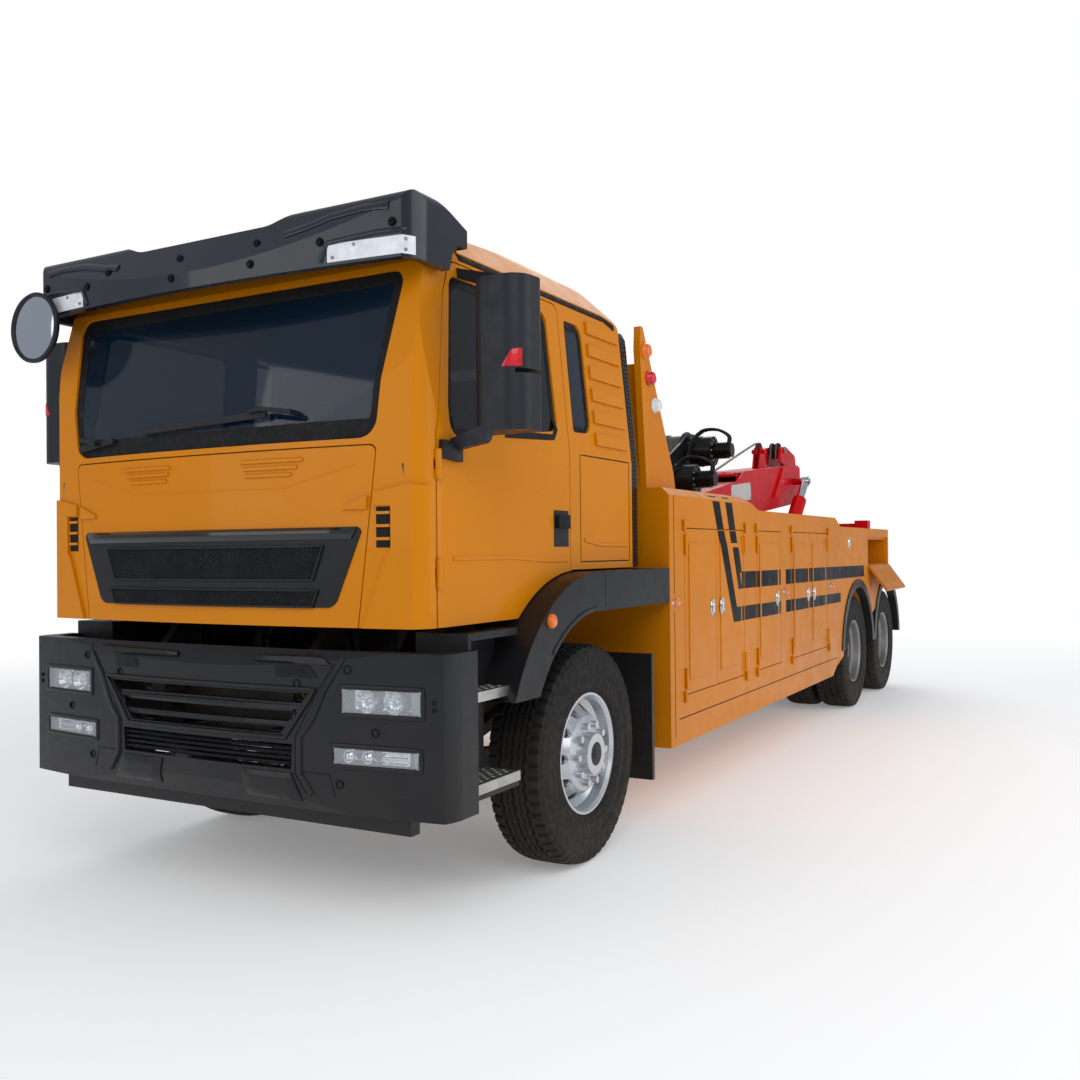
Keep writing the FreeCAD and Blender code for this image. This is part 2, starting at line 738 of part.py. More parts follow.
spring = slab("front_spring", "side", "spring_place - spring_width / 2", "spring_place + spring_width / 2", (
    ("-860", "rail_low - 60"),
    ("-860", "rail_low - seat_gap"),
    ("-790", "rail_low - seat_gap"),
    ("-axle_beam_half - 60", "tyre_radius - axle_drop + 110"),
    ("axle_beam_half + 60", "tyre_radius - axle_drop + 110"),
    ("790", "rail_low - seat_gap"),
    ("860", "rail_low - seat_gap"),
    ("860", "rail_low - 60"),
    ("axle_beam_half + 60", "tyre_radius - axle_drop + 50"),
    ("-axle_beam_half - 60", "tyre_radius - axle_drop + 50"),
))
keep("front_axle", cut("bored_beam", fuse("beam_and_springs",
                                          [front_beam] + both_sides("beam_bosses", beam_boss)
                                               + both_sides("front_springs", spring)),
                       both_sides("kingpin_bores", kingpin_bore)))

drive_pieces = []
for i, along in enumerate(REAR_AXLES):
    tube_end = "rear_outer_half - dual_spacing - 20 - seat_gap"
    drive_pieces += [
        rod(f"axle_tube_{i}", "x", (f"-({tube_end})", along, "tyre_radius"), f"2 * ({tube_end})",
            "axle_tube_radius"),
        rod(f"differential_{i}", "y", ("0", f"{along} - 190", "tyre_radius"), "380", "diff_radius"),
    ]
prop_shaft = rod("prop_shaft", "y", ("0", "engine_rear", "tyre_radius + 110"), "wheelbase - engine_rear",
                 "shaft_radius")
link_shaft = rod("link_shaft", "y", ("0", "wheelbase", "tyre_radius + 110"), "tandem_pitch", "shaft_radius")
bogie_spring = slab("bogie_spring", "side", "rail_half + seat_gap", "rail_half + spring_width", (
    ("wheelbase - 60", "tyre_radius + axle_tube_radius - 20"),
    ("wheelbase + 60", "tyre_radius + axle_tube_radius - 20"),
    ("wheelbase + tandem_pitch / 2", "rail_low - 60"),
    ("wheelbase + tandem_pitch - 60", "tyre_radius + axle_tube_radius - 20"),
    ("wheelbase + tandem_pitch + 60", "tyre_radius + axle_tube_radius - 20"),
    ("wheelbase + tandem_pitch / 2 + 120", "rail_low + 60"),
    ("wheelbase + tandem_pitch / 2 - 120", "rail_low + 60"),
))
keep("drive_axles",
     fuse("drive_line", drive_pieces + [prop_shaft, link_shaft] + both_sides("bogie_springs", bogie_spring)))

# Knuckles: a kingpin through the beam's end, a fork above and below it, and the stub axle.
knuckle_parts = [
    rod("kingpin", "z", ("kingpin_place", "0", "tyre_radius - 130"), "260", "kingpin_radius"),
    block("fork_web", "kingpin_place + 55 + joint_gap", "front_track_half - drum_reach - seat_gap", "-60",
          "60",
          "tyre_radius - 130", "tyre_radius + 130"),
    block("fork_top", "kingpin_place - 45", "front_track_half - drum_reach - seat_gap", "-48", "48",
          "tyre_radius + 85 + seat_gap", "tyre_radius + 130"),
    block("fork_bottom", "kingpin_place - 45", "front_track_half - drum_reach - seat_gap", "-48", "48",
          "tyre_radius - 130", "tyre_radius - 85 - seat_gap"),
]
knuckle = keep("knuckle_left", fuse("knuckle_forging", knuckle_parts))
keep_mirror("knuckle_right", knuckle)

# --- Body of lockers --------------------------------------------------------------------------
# One box on each side of the frame, with its arches cut through and three lockers in it.

body_side = slab("body_side", "side", "body_inner", "half_width", (
    ("body_front", "body_low"),
    ("body_front", "body_high"),
    ("2320", "body_high"),
    ("2620", "body_step_high"),
    ("wheelbase - 900", "body_step_high"),
    ("wheelbase - 690", "body_tail_high"),
    ("body_rear", "body_tail_high"),
    ("body_rear", "tyre_radius + 560"),
    ("wheelbase - 900", "tyre_radius - 60"),
    ("wheelbase - 1035", "body_low"),
))
arches = [rod(f"arch_{i}", "x", ("body_inner - 5", along, "tyre_radius"), "half_width", "arch_radius")
          for i, along in enumerate(REAR_AXLES)]
LOCKERS = (
    # name, front, rear, leaves
    ("front", "1160", "2280", 2),
    ("middle", "2560", "3165", 1),
    ("rear", "3450", "4590", 2),
)
hollows = []
for name, front, rear, _ in LOCKERS:
    hollows.append(
        block(f"{name}_mouth", "half_width - leaf_wall - seat_gap", "half_width + 1", front, rear,
              "locker_low", "locker_high")
    )
    hollows.append(block(f"{name}_opening", "half_width - body_wall - 1", "half_width - leaf_wall",
                         f"{front} + rebate", f"{rear} - rebate",
                         "locker_low + rebate", "locker_high - rebate"))
    hollows.append(block(f"{name}_hollow", "body_inner + body_wall", "half_width - body_wall",
                         f"{front} - locker_lip",
                         f"{rear} + locker_lip", "locker_low - locker_lip", "locker_high + locker_lip"))
hollows.append(block("station_mouth", "half_width - station_lid_wall - seat_gap", "half_width + 1",
                     "station_front", "station_rear",
                     "station_low", "station_high"))
hollows.append(block("station_hollow", "half_width - station_depth", "half_width", "station_front + rebate",
                     "station_rear - rebate",
                     "station_low + rebate", "station_high - rebate"))
LID_HINGES = ("station_front + 120", "station_rear - 240")
for i, along in enumerate(LID_HINGES):
    hollows.append(rod(f"lid_notch_{i}", "y", ("half_width", f"{along} - seat_gap", "station_low"),
                       "120 + 2 * seat_gap",
                       "hinge_radius + joint_gap"))
chamfer_tool = slab("chamfer", "front", "body_front - 5", "body_rear + 5", (
    ("half_width - top_chamfer", "body_high + 1"),
    ("half_width + 1", "body_high - top_chamfer"),
    ("half_width + 1", "body_high + 1"),
))
flare_parts = []
for i, along in enumerate(REAR_AXLES):
    flare_parts.append(cut(f"flare_{i}",
        rod(f"flare_disc_{i}", "x", ("half_width - 70", along, "tyre_radius"), "70 + arch_flare_reach",
            "arch_flare_radius"),
        [
         rod(f"flare_bore_{i}", "x", ("half_width - 80", along, "tyre_radius"), "100 + arch_flare_reach",
             "arch_radius"),

         block(f"flare_trim_{i}", "half_width - 80", "half_width + 80", "0", "9000", "-200",
               "tyre_radius + 60")]))
body_box = cut("body_box", body_side, arches + hollows + [chamfer_tool] + flare_parts)
body_left = keep("body_left", body_box)
keep_mirror("body_right", body_left)

# A leaf fills its mouth but for the gap.  Its outer face is flush with the body and has a
# raised panel; two hinge barrels stand on its hinge edge.
def leaf(label, front, rear, hinge_at_front, low="locker_low", high="locker_high"):
    panel = block(label + "_panel", "half_width - leaf_wall", "half_width", f"{front} + joint_gap",
                  f"{rear} - joint_gap",
                  f"{low} + joint_gap", f"{high} - joint_gap")
    raised = block(label + "_raised", "half_width - 1", "half_width + leaf_emboss", f"{front} + 70",
                   f"{rear} - 70",
                   f"{low} + 90", f"{high} - 90")
    edge = f"{front} + joint_gap" if hinge_at_front else f"{rear} - joint_gap"
    inner = f"{edge} + 45" if hinge_at_front else f"{edge} - 45"
    strap = (edge, inner) if hinge_at_front else (inner, edge)
    hinges = []
    for i, z in enumerate((f"{low} + 40", f"{high} - 160")):
        hinges.append(
            rod(f"{label}_barrel_{i}", "z", ("half_width + hinge_radius", edge, z), "120", "hinge_radius")
        )
        hinges.append(
            block(f"{label}_strap_{i}", "half_width - 1", "half_width + 5", *strap, z, f"{z} + 120")
        )
    return fuse(label + "_welded", [panel, raised] + hinges)


for name, front, rear, leaves in LOCKERS:
    middle = f"(({front}) + ({rear})) / 2"
    if leaves == 2:
        fore = keep(f"door_{name}_fore_left", leaf(f"{name}_fore", front, f"{middle} + joint_gap / 2", True))
        aft = keep(f"door_{name}_aft_left", leaf(f"{name}_aft", f"{middle} - joint_gap / 2", rear, False))
        keep_mirror(f"door_{name}_fore_right", fore)
        keep_mirror(f"door_{name}_aft_right", aft)
    else:
        single = keep(f"door_{name}_left", leaf(f"{name}_only", front, rear, True))
        keep_mirror(f"door_{name}_right", single)

# The control station's lid folds down about its low edge: shut on the right, open on the left.
station_panel = block("station_panel", "half_width - station_lid_wall", "half_width",
                      "station_front + joint_gap",
                      "station_rear - joint_gap", "station_low + seat_gap", "station_high - joint_gap")
lid_barrels = [rod(f"lid_barrel_{i}", "y", ("half_width", along, "station_low"), "120", "hinge_radius")
               for i, along in enumerate(LID_HINGES)]
station_lid = fuse("station_lid", [station_panel] + lid_barrels)
lid_open = group("lid_open", [station_lid])
lid_open.Placement.Rotation = FreeCAD.Rotation(FreeCAD.Vector(0, 1, 0), 90)
bind(lid_open, "Placement.Rotation.Angle", "station_lid_angle")
bind(
    lid_open, "Placement.Base.x",
    "half_width - half_width * cos(station_lid_angle * 1 deg) - station_low * sin(station_lid_angle * 1 deg)"
)
bind(
    lid_open, "Placement.Base.z",
    "station_low + half_width * sin(station_lid_angle * 1 deg) - station_low * cos(station_lid_angle * 1 deg)"
)
keep("station_lid_left", lid_open)
lid_shut = group("lid_shut", [station_lid])
bind(lid_shut, "Placement.Base.y", "axle_place")
keep_mirror("station_lid_right", lid_shut)

deck_front = block("deck_front", "-body_inner + seat_gap", "body_inner - seat_gap", "body_front",
                   "boom_post_front - 200", "subframe_high", "subframe_high + deck_wall")
deck_rear = block("deck_rear", "-body_inner + seat_gap", "body_inner - seat_gap", "boom_post_rear + 200",
                  "body_rear", "subframe_high", "subframe_high + deck_wall")
foot_hole = block("foot_hole", "cylinder_place - eye_half - 50", "cylinder_place + eye_half + 50",
                  "cylinder_foot_y - 140",
                  "cylinder_foot_y + 140", "subframe_high - 1", "subframe_high + deck_wall + 1")
keep("deck", deck_front, cut("deck_rear_holed", deck_rear, both_sides("foot_holes", foot_hole)))

# --- Headboard and winches --------------------------------------------------------------------
headboard_side = slab("headboard_side", "side", "headboard_half - headboard_wall", "headboard_half", (
    ("body_front + 10", "body_high"),
    ("headboard_front", "headboard_high - 130"),
    ("headboard_front + 10", "headboard_high"),
    ("headboard_front + 45", "headboard_high"),
    ("headboard_foot - 30", "body_high + 105"),
    ("headboard_foot", "body_high"),
))
headboard_front_plate = block("headboard_front_plate", "-headboard_half + headboard_wall",
                              "headboard_half - headboard_wall",
                              "body_front + 10", "body_front + 30", "body_high", "headboard_high - 260")
headboard_lower = block("headboard_lower", "-body_inner + seat_gap", "body_inner - seat_gap",
                        "body_front + 10",
                        "body_front + 30", "subframe_high + deck_wall", "body_high")
headboard_rail = block("headboard_rail", "-headboard_half + headboard_wall",
                       "headboard_half - headboard_wall",
                       "body_front + 10", "body_front + 90", "headboard_high - 260", "headboard_high - 200")
keep("headboard", fuse("headboard_weldment", both_sides("headboard_sides", headboard_side)
                       + [headboard_front_plate, headboard_lower, headboard_rail]))

winch_plate_points = (
    ("lower_winch_y - 260", "subframe_high + deck_wall"),
    ("lower_winch_y - 230", "lower_winch_z + 60"),
    ("lower_winch_y - 60", "lower_winch_z + 190"),
    ("upper_winch_y - 200", "upper_winch_z + 60"),
    ("upper_winch_y - 60", "upper_winch_z + 150"),
    ("upper_winch_y + 90", "upper_winch_z + 150"),
    ("upper_winch_y + 200", "upper_winch_z + 30"),
    ("upper_winch_y + 280", "subframe_high + deck_wall"),
)
winch_left = slab("winch_plate_l", "side", "winch_plate_left", "winch_plate_left + winch_plate_wall",
                  winch_plate_points)
winch_right = slab("winch_plate_r", "side", "winch_plate_right - winch_plate_wall", "winch_plate_right",
                   winch_plate_points)
winch_base = block("winch_base", "winch_plate_right - winch_plate_wall",
                   "winch_plate_left + winch_plate_wall",
                   "lower_winch_y - 260", "upper_winch_y + 280", "subframe_high + deck_wall",
                   "subframe_high + deck_wall + 20")
winch_tie = block("winch_tie", "winch_plate_right", "winch_plate_left", "upper_winch_y - 30",
                  "upper_winch_y + 30",
                  "lower_winch_z - 60", "lower_winch_z + 10")
keep("winch_frame", fuse("winch_frame_weldment", [winch_left, winch_right, winch_base, winch_tie]))

WINCHES = (
    # name, along, height
    ("upper", "upper_winch_y", "upper_winch_z"),
    ("lower", "lower_winch_y", "lower_winch_z"),
)
winch_solids = []
for name, along, height in WINCHES:
    width = "winch_plate_left - winch_plate_right"
    drum = fuse(f"{name}_drum", [
        rod(f"{name}_core", "x", ("winch_plate_right", along, height), width, "drum_radius"),
        rod(f"{name}_flange_a", "x", ("winch_plate_right", along, height), "drum_flange_wall",
            "drum_flange_radius"),
        rod(f"{name}_flange_b", "x", ("winch_plate_left - drum_flange_wall", along, height),
            "drum_flange_wall",
            "drum_flange_radius"),
    ])
    drive = fuse(f"{name}_drive", [
        rod(f"{name}_gear", "x", ("winch_plate_left + winch_plate_wall", along, height), "gear_length",
            "gear_radius"),
        rod(f"{name}_motor", "x", ("winch_plate_left + winch_plate_wall + gear_length", along, height),
            "motor_length",
            "motor_radius"),
    ])
    winch_solids += [drum, drive]
keep("winches", *winch_solids)

# --- Boom -------------------------------------------------------------------------------------
# The boom is drawn lying level from its pivot and is then tilted to the stowed slope.
boom_outer = slab("boom_outer", "side", "-boom_half", "boom_half", (
    ("boom_pivot_y - 150", "boom_pivot_z - 110", "60"),
    ("boom_pivot_y - 150", "boom_pivot_z + 190", "30"),
    ("boom_pivot_y + 780", "boom_pivot_z + 250"),
    ("boom_pivot_y + 1000", "boom_pivot_z + boom_depth - 90"),
    ("boom_rear", "boom_pivot_z + boom_depth - 90"),
    ("boom_rear", "boom_pivot_z - 90"),
    ("boom_pivot_y + 500", "boom_pivot_z - 110"),
))
boom_bore = block("boom_bore", "-boom_half + boom_wall", "boom_half - boom_wall", "boom_pivot_y + 700",
                  "boom_rear + 5",
                  "boom_pivot_z - 90 + boom_wall", "boom_pivot_z + boom_depth - 90 - boom_wall")
boom_bore_step = slab("boom_bore_step", "side", "-boom_half - 5", "boom_half + 5", (
    ("boom_pivot_y + 690", "boom_pivot_z + 228"),
    ("boom_pivot_y + 690", "boom_pivot_z + boom_depth"),
    ("boom_pivot_y + 1060", "boom_pivot_z + boom_depth"),
))
boom_pin_hole = rod("boom_pin_hole", "x", ("-boom_half - 5", "boom_pivot_y", "boom_pivot_z"),
                    "2 * boom_half + 10",
                    "boom_pin_radius + kingpin_clearance")
boom_hollow = cut("boom_hollow", boom_bore, [boom_bore_step])
gusset = slab("gusset", "side", "boom_half", "boom_half + 24", (
    ("boom_rear - 1000", "boom_pivot_z + 20"),
    ("boom_rear - 600", "boom_pivot_z + 335"),
    ("boom_rear", "boom_pivot_z + 335"),
    ("boom_rear - 200", "boom_pivot_z + 110"),
))
boom_shell = cut("boom_shell", boom_outer, [boom_hollow, boom_pin_hole])
eye_boss = rod("eye_boss", "x", ("boom_half", "cylinder_eye_level_y", "cylinder_eye_level_z"),
               "cylinder_place - eye_half - boom_half - joint_gap",
               "cylinder_pin_radius + 6")
fore_sheave = fuse("fore_sheave_assembly", [
    rod("fore_sheave_pin", "x", ("-75", "fore_sheave_y", "fore_sheave_z"), "150", "25"),
    rod("fore_sheave", "x", ("-sheave_wall / 2", "fore_sheave_y", "fore_sheave_z"), "sheave_wall",
        "sheave_radius"),
] + both_sides("fore_brackets",
slab("fore_bracket", "side", "sheave_wall / 2 + joint_gap", "sheave_wall / 2 + joint_gap + 16", (
    ("fore_sheave_y - 150", "boom_pivot_z + boom_depth - 95"),
    ("fore_sheave_y - 50", "fore_sheave_z + 45", "40"),
    ("fore_sheave_y + 50", "fore_sheave_z + 45", "40"),
    ("fore_sheave_y + 150", "boom_pivot_z + boom_depth - 95"),
))))
boom_weldment = fuse(
    "boom_weldment",
    [boom_shell, fore_sheave] + both_sides("gussets", gusset) + both_sides("eye_bosses", eye_boss)
)
keep("boom", tilt("boom_stowed", boom_weldment, "boom_slope", "boom_pivot_y", "boom_pivot_z"))

extension_box = block("extension_box", "-boom_half + boom_wall + extension_gap",
                      "boom_half - boom_wall - extension_gap",
                      "extension_front", "extension_rear - 200",
                      "boom_pivot_z - 90 + boom_wall + extension_gap",
                      "boom_pivot_z + boom_depth - 90 - boom_wall - extension_gap")
extension_hollow = block("extension_hollow", "-boom_half + 2 * boom_wall + extension_gap",
                         "boom_half - 2 * boom_wall - extension_gap",
                         "extension_front - 5", "extension_rear - 260",
                         "boom_pivot_z - 90 + 2 * boom_wall + extension_gap",
                         "boom_pivot_z + boom_depth - 90 - 2 * boom_wall - extension_gap")
boom_floor = "boom_pivot_z - 90 + boom_wall"
boom_ceiling = "boom_pivot_z + boom_depth - 90 - boom_wall"
slide_pads = [
    block("lower_pad", "-150", "150", "extension_front + 20", "extension_front + 220",
          f"{boom_floor} + seat_gap",
          f"{boom_floor} + extension_gap + 1"),
    block("upper_pad", "-150", "150", "extension_front + 20", "extension_front + 220",
          f"{boom_ceiling} - extension_gap - 1",
          f"{boom_ceiling} - seat_gap"),
]
head_cheek = slab("head_cheek", "side", "70", "100", (
    ("extension_rear - 425", "boom_pivot_z + 300"),
    ("extension_rear - 425", "boom_pivot_z + 355"),
    ("extension_rear - 560", "boom_pivot_z + 390"),
    ("head_sheave_y - 90", "head_sheave_z + 45", "45"),
    ("head_sheave_y + 80", "head_sheave_z + 45", "60"),
    ("extension_rear + 60", "boom_pivot_z + 440", "80"),
    ("extension_rear + 130", "boom_pivot_z + 120"),
    ("extension_rear", "boom_pivot_z - 60"),
    ("extension_rear - 220", "boom_pivot_z - 60"),
    ("extension_rear - 220", "boom_pivot_z + 312"),
))
head_sheave = fuse("head_sheave_assembly", [
    rod("head_sheave_pin", "x", ("-105", "head_sheave_y", "head_sheave_z"), "210", "25"),
] + both_sides("head_sheaves",
rod("head_sheave", "x", ("14", "head_sheave_y", "head_sheave_z"), "sheave_wall", "sheave_radius")))
keep("boom_extension", tilt("extension_stowed", fuse("extension_weldment", [
    cut("extension_tube", extension_box, [extension_hollow]),
    head_sheave] + slide_pads + both_sides("head_cheeks", head_cheek)),
    "boom_slope", "boom_pivot_y", "boom_pivot_z"))

# --- Lift cylinders ---------------------------------------------------------------------------
turn = "boom_slope * 1 deg"
arm_y = "(cylinder_eye_level_y - boom_pivot_y)"
arm_z = "(cylinder_eye_level_z - boom_pivot_z)"
eye_y = f"(boom_pivot_y + {arm_y} * cos({turn}) - {arm_z} * sin({turn}))"
eye_z = f"(boom_pivot_z + {arm_y} * sin({turn}) + {arm_z} * cos({turn}))"
# Each lies along the line from its foot pin to its eye on the boom: drawn upright, then tilted.
reach = f"sqrt(({eye_y} - cylinder_foot_y)^2 + ({eye_z} - cylinder_foot_z)^2)"
lean = f"(-atan(({eye_y} - cylinder_foot_y) / ({eye_z} - cylinder_foot_z)) / 1 deg)"
barrel = fuse("barrel", [
    rod("barrel_eye", "x", ("cylinder_place - eye_half", "cylinder_foot_y", "cylinder_foot_z"),
        "2 * eye_half", "barrel_radius - 10"),
    block("barrel_neck", "cylinder_place - eye_half", "cylinder_place + eye_half", "cylinder_foot_y - 50",
          "cylinder_foot_y + 50",
          "cylinder_foot_z", "cylinder_foot_z + 120"),
    rod("barrel_tube", "z", ("cylinder_place", "cylinder_foot_y", "cylinder_foot_z + 110"),
        "barrel_length - 110", "barrel_radius"),
])
barrel_bore = rod("barrel_bore", "z", ("cylinder_place", "cylinder_foot_y", "cylinder_foot_z + 130"),
                  "barrel_length", "barrel_radius - barrel_wall")
gland = cut("gland",
            rod("gland_ring", "z",
                ("cylinder_place", "cylinder_foot_y", "cylinder_foot_z + barrel_length - 60"), "70",
                "barrel_radius"),

            [rod("gland_bore", "z",
                 ("cylinder_place", "cylinder_foot_y", "cylinder_foot_z + barrel_length - 70"), "90",
                 "rod_radius + seat_gap")])
foot_bore = rod("foot_bore", "x", ("cylinder_place - eye_half - 5", "cylinder_foot_y", "cylinder_foot_z"),
                "2 * eye_half + 10",
                "cylinder_pin_radius + kingpin_clearance")
barrel_done = fuse("barrel_done", [cut("barrel_bored", barrel, [barrel_bore, foot_bore]), gland])
keep("lift_barrels",
     *both_sides("barrels", tilt("barrel_leaning", barrel_done, lean, "cylinder_foot_y", "cylinder_foot_z")))
rod_eye = fuse("rod_and_eye", [
    rod("rod_bar", "z", ("cylinder_place", "cylinder_foot_y", "cylinder_foot_z + 140"),
        f"{reach} - 140 - 50", "rod_radius"),
    rod("rod_eye", "x", ("cylinder_place - eye_half", "cylinder_foot_y", f"cylinder_foot_z + {reach}"),
        "2 * eye_half", "barrel_radius - 15"),
    rod("rod_pin_head", "x",
        ("cylinder_place + eye_half - 1", "cylinder_foot_y", f"cylinder_foot_z + {reach}"), "21",
        "cylinder_pin_radius + 4"),
])
keep("lift_rods",
     *both_sides("rods", tilt("rod_leaning", rod_eye, lean, "cylinder_foot_y", "cylinder_foot_z")))

# --- Under-lift -------------------------------------------------------------------------------
stinger = cut("stinger_tube", slab("stinger_outer", "side", "-stinger_half", "stinger_half", (
    ("stinger_pivot_y - stinger_half", "stinger_pivot_z - stinger_half", "60"),
    ("stinger_pivot_y - stinger_half", "stinger_high"),
    ("stinger_pivot_y + stinger_half", "stinger_high"),
    ("stinger_pivot_y + stinger_half", "stinger_pivot_z - stinger_half", "60"),
)), [
    block("stinger_bore", "-stinger_half + stinger_wall", "stinger_half - stinger_wall",
          "stinger_pivot_y - stinger_half + stinger_wall",
          "stinger_pivot_y + stinger_half - stinger_wall", "stinger_pivot_z + 60", "stinger_high + 5"),
    rod("stinger_pin_bore", "x", ("-stinger_half - 5", "stinger_pivot_y", "stinger_pivot_z"),
        "2 * stinger_half + 10",
        "stinger_pin_radius + kingpin_clearance"),
])
keep("underlift_arm", stinger)
inner_half = "stinger_half - stinger_wall - inner_stinger_gap"
stinger_inner = block("stinger_inner", f"-({inner_half})", inner_half, f"stinger_pivot_y - ({inner_half})",
                      f"stinger_pivot_y + {inner_half}",
                      "inner_stinger_low", "inner_stinger_high")
stinger_pad = block("stinger_pad", inner_half, f"{inner_half} + inner_stinger_gap - seat_gap",
                    "stinger_pivot_y - 40", "stinger_pivot_y + 40",
                    "inner_stinger_low", "inner_stinger_low + 100")
clevis_low = block("clevis_low", f"-({inner_half})", inner_half,
                   "stinger_pivot_y - crossbar_half_depth - joint_gap - 18",
                   "stinger_pivot_y - crossbar_half_depth - joint_gap", "inner_stinger_high - 80",
                   "crossbar_z + 70")
clevis_high = block("clevis_high", f"-({inner_half})", inner_half,
                    "stinger_pivot_y + crossbar_half_depth + joint_gap",
                    "stinger_pivot_y + crossbar_half_depth + joint_gap + 18", "inner_stinger_high - 80",
                    "crossbar_z + 70")
clevis_bridge = block("clevis_bridge", f"-({inner_half})", inner_half,
                      "stinger_pivot_y - crossbar_half_depth - joint_gap - 18",
                      "stinger_pivot_y + crossbar_half_depth + joint_gap + 18", "inner_stinger_high - 80",
                      "inner_stinger_high - 40")
swivel_pin = rod("swivel_pin", "y",
                 ("0", "stinger_pivot_y - crossbar_half_depth - joint_gap - 18", "crossbar_z"),
                 "2 * (crossbar_half_depth + joint_gap + 18)", "swivel_radius")
keep("underlift_extension", fuse("stinger_extension",
                                 [stinger_inner, clevis_low, clevis_high, clevis_bridge, swivel_pin]
                                 + both_sides("stinger_pads", stinger_pad)))
crossbar_box = block("crossbar_box", "-crossbar_half_length + 2 * receiver_half",
                     "crossbar_half_length - 2 * receiver_half",
                     "stinger_pivot_y - crossbar_half_depth", "stinger_pivot_y + crossbar_half_depth",
                     "crossbar_z - crossbar_half_height", "crossbar_z + crossbar_half_height")
swivel_bore = rod("swivel_bore", "y", ("0", "stinger_pivot_y - crossbar_half_depth - 5", "crossbar_z"),
                  "2 * crossbar_half_depth + 10",
                  "swivel_radius + kingpin_clearance")
receiver = cut("receiver", block("receiver_outer", "crossbar_half_length - 2 * receiver_half",
                                 "crossbar_half_length",
                                 "stinger_pivot_y - receiver_half", "stinger_pivot_y + receiver_half",
                                 "crossbar_z - receiver_length / 2", "crossbar_z + receiver_length / 2"), [
    block("receiver_bore", "crossbar_half_length - receiver_half - receiver_bore_half",
          "crossbar_half_length - receiver_half + receiver_bore_half",
          "stinger_pivot_y - receiver_bore_half", "stinger_pivot_y + receiver_bore_half",
          "crossbar_z - receiver_length / 2 - 5", "crossbar_z + receiver_length / 2 + 5"),
    rod("fork_pin_bore", "y",
        ("crossbar_half_length - receiver_half", "stinger_pivot_y - receiver_half - 5", "crossbar_z"),
        "2 * receiver_half + 10", "fork_pin_radius"),
])
keep(
    "underlift_crossbar",
    fuse("crossbar_weldment",
         [cut("crossbar_bored", crossbar_box, [swivel_bore])] + both_sides("receivers", receiver))
)

# --- Cab --------------------------------------------------------------------------------------
# One form gives every skin of the cab: a plan with rounded front corners and a bowed front, a
# side view with a raked screen, and a front view whose sides lean in above the belt.  Set in by
# a wall it is the inside; set in a little it is the glass.


def cab_form(name, inset):
    side = f"(cab_half - ({inset}))"
    plan = slab(name + "_plan", "top", "cab_low - 20", "cab_top + 60", (
        (side, f"cab_rear - ({inset})"),
        (side, f"cab_front - 4 + ({inset})", f"cab_corner - ({inset})"),
        (f"-{side}", f"cab_front - 4 + ({inset})", f"cab_corner - ({inset})"),
        (f"-{side}", f"cab_rear - ({inset})"),
    ))
    profile = slab(name + "_profile", "side", "-cab_half - 60", "cab_half + 60", (
        (f"cab_front - 60 + ({inset})", f"cab_low + ({inset})"),
        (f"cab_front - 60 + ({inset})", f"screen_low - 60"),
        (f"cab_front + ({inset})", f"screen_low - 20"),
        (f"cab_front + 155 + ({inset})", f"screen_high + 30"),
        (f"cab_front + 260 + ({inset})", f"cab_top - 85 - ({inset})", "160"),
        (f"-250", f"cab_top - ({inset})", "1500"),
        (f"cab_rear - 260", f"cab_top - 25 - ({inset})", "260"),
        (f"cab_rear - 20 - ({inset})", f"screen_high + 120 - ({inset})", "90"),
        (f"cab_rear - ({inset})", f"cab_belt"),
        (f"cab_rear - ({inset})", f"cab_arch_low + ({inset})"),
        (f"-40 - ({inset})", f"cab_arch_low + ({inset})"),
        (f"-40 - ({inset})", f"cab_low + ({inset})"),
    ))
    lean_in = f"({side} - side_lean)"
    face = slab(name + "_face", "front", "cab_front - 80", "cab_rear + 20", (
        (side, "cab_low - 30"),
        (side, "cab_belt"),
        (lean_in, "door_high + 20", "90"),
        (f"({lean_in} - 150)", f"cab_top + 10 - ({inset})", "120"),
        (f"-({lean_in} - 150)", f"cab_top + 10 - ({inset})", "120"),
        (f"-{lean_in}", "door_high + 20", "90"),
        (f"-{side}", "cab_belt"),
        (f"-{side}", "cab_low - 30"),
    ))
    bow = rod(name + "_bow", "z", ("0", f"cab_front + ({inset}) + cab_bow_radius", "cab_low - 30"),
              "cab_top - cab_low + 100",
              "cab_bow_radius")
    return common(name, [plan, profile, face, bow])


cab_outer = cab_form("cab_outer", "0")
cab_inner = cab_form("cab_inner", "cab_wall")
tunnel = block("tunnel", "-tunnel_half", "tunnel_half", "cab_front + cab_wall", "cab_rear + 5",
               "cab_low - 5", "tunnel_high")
tunnel_cover = block("tunnel_cover", "-tunnel_half - 30", "tunnel_half + 30", "cab_front", "cab_rear + 5",
                     "cab_low - 5",
                     "tunnel_high + 30")
wheel_room = rod("wheel_room", "x", ("-cab_half - 50", "0", "tyre_radius"), "2 * cab_half + 100",
                 "wing_radius + joint_gap")
wheel_cover = rod("wheel_cover", "x", ("-cab_half - 50", "0", "tyre_radius"), "2 * cab_half + 100",
                  "wing_radius + joint_gap + 40")
cab_room = cut("cab_room", cab_inner, [tunnel_cover, wheel_cover])
cab_skin = cut("cab_skin", cab_outer, [cab_room, tunnel, wheel_room])

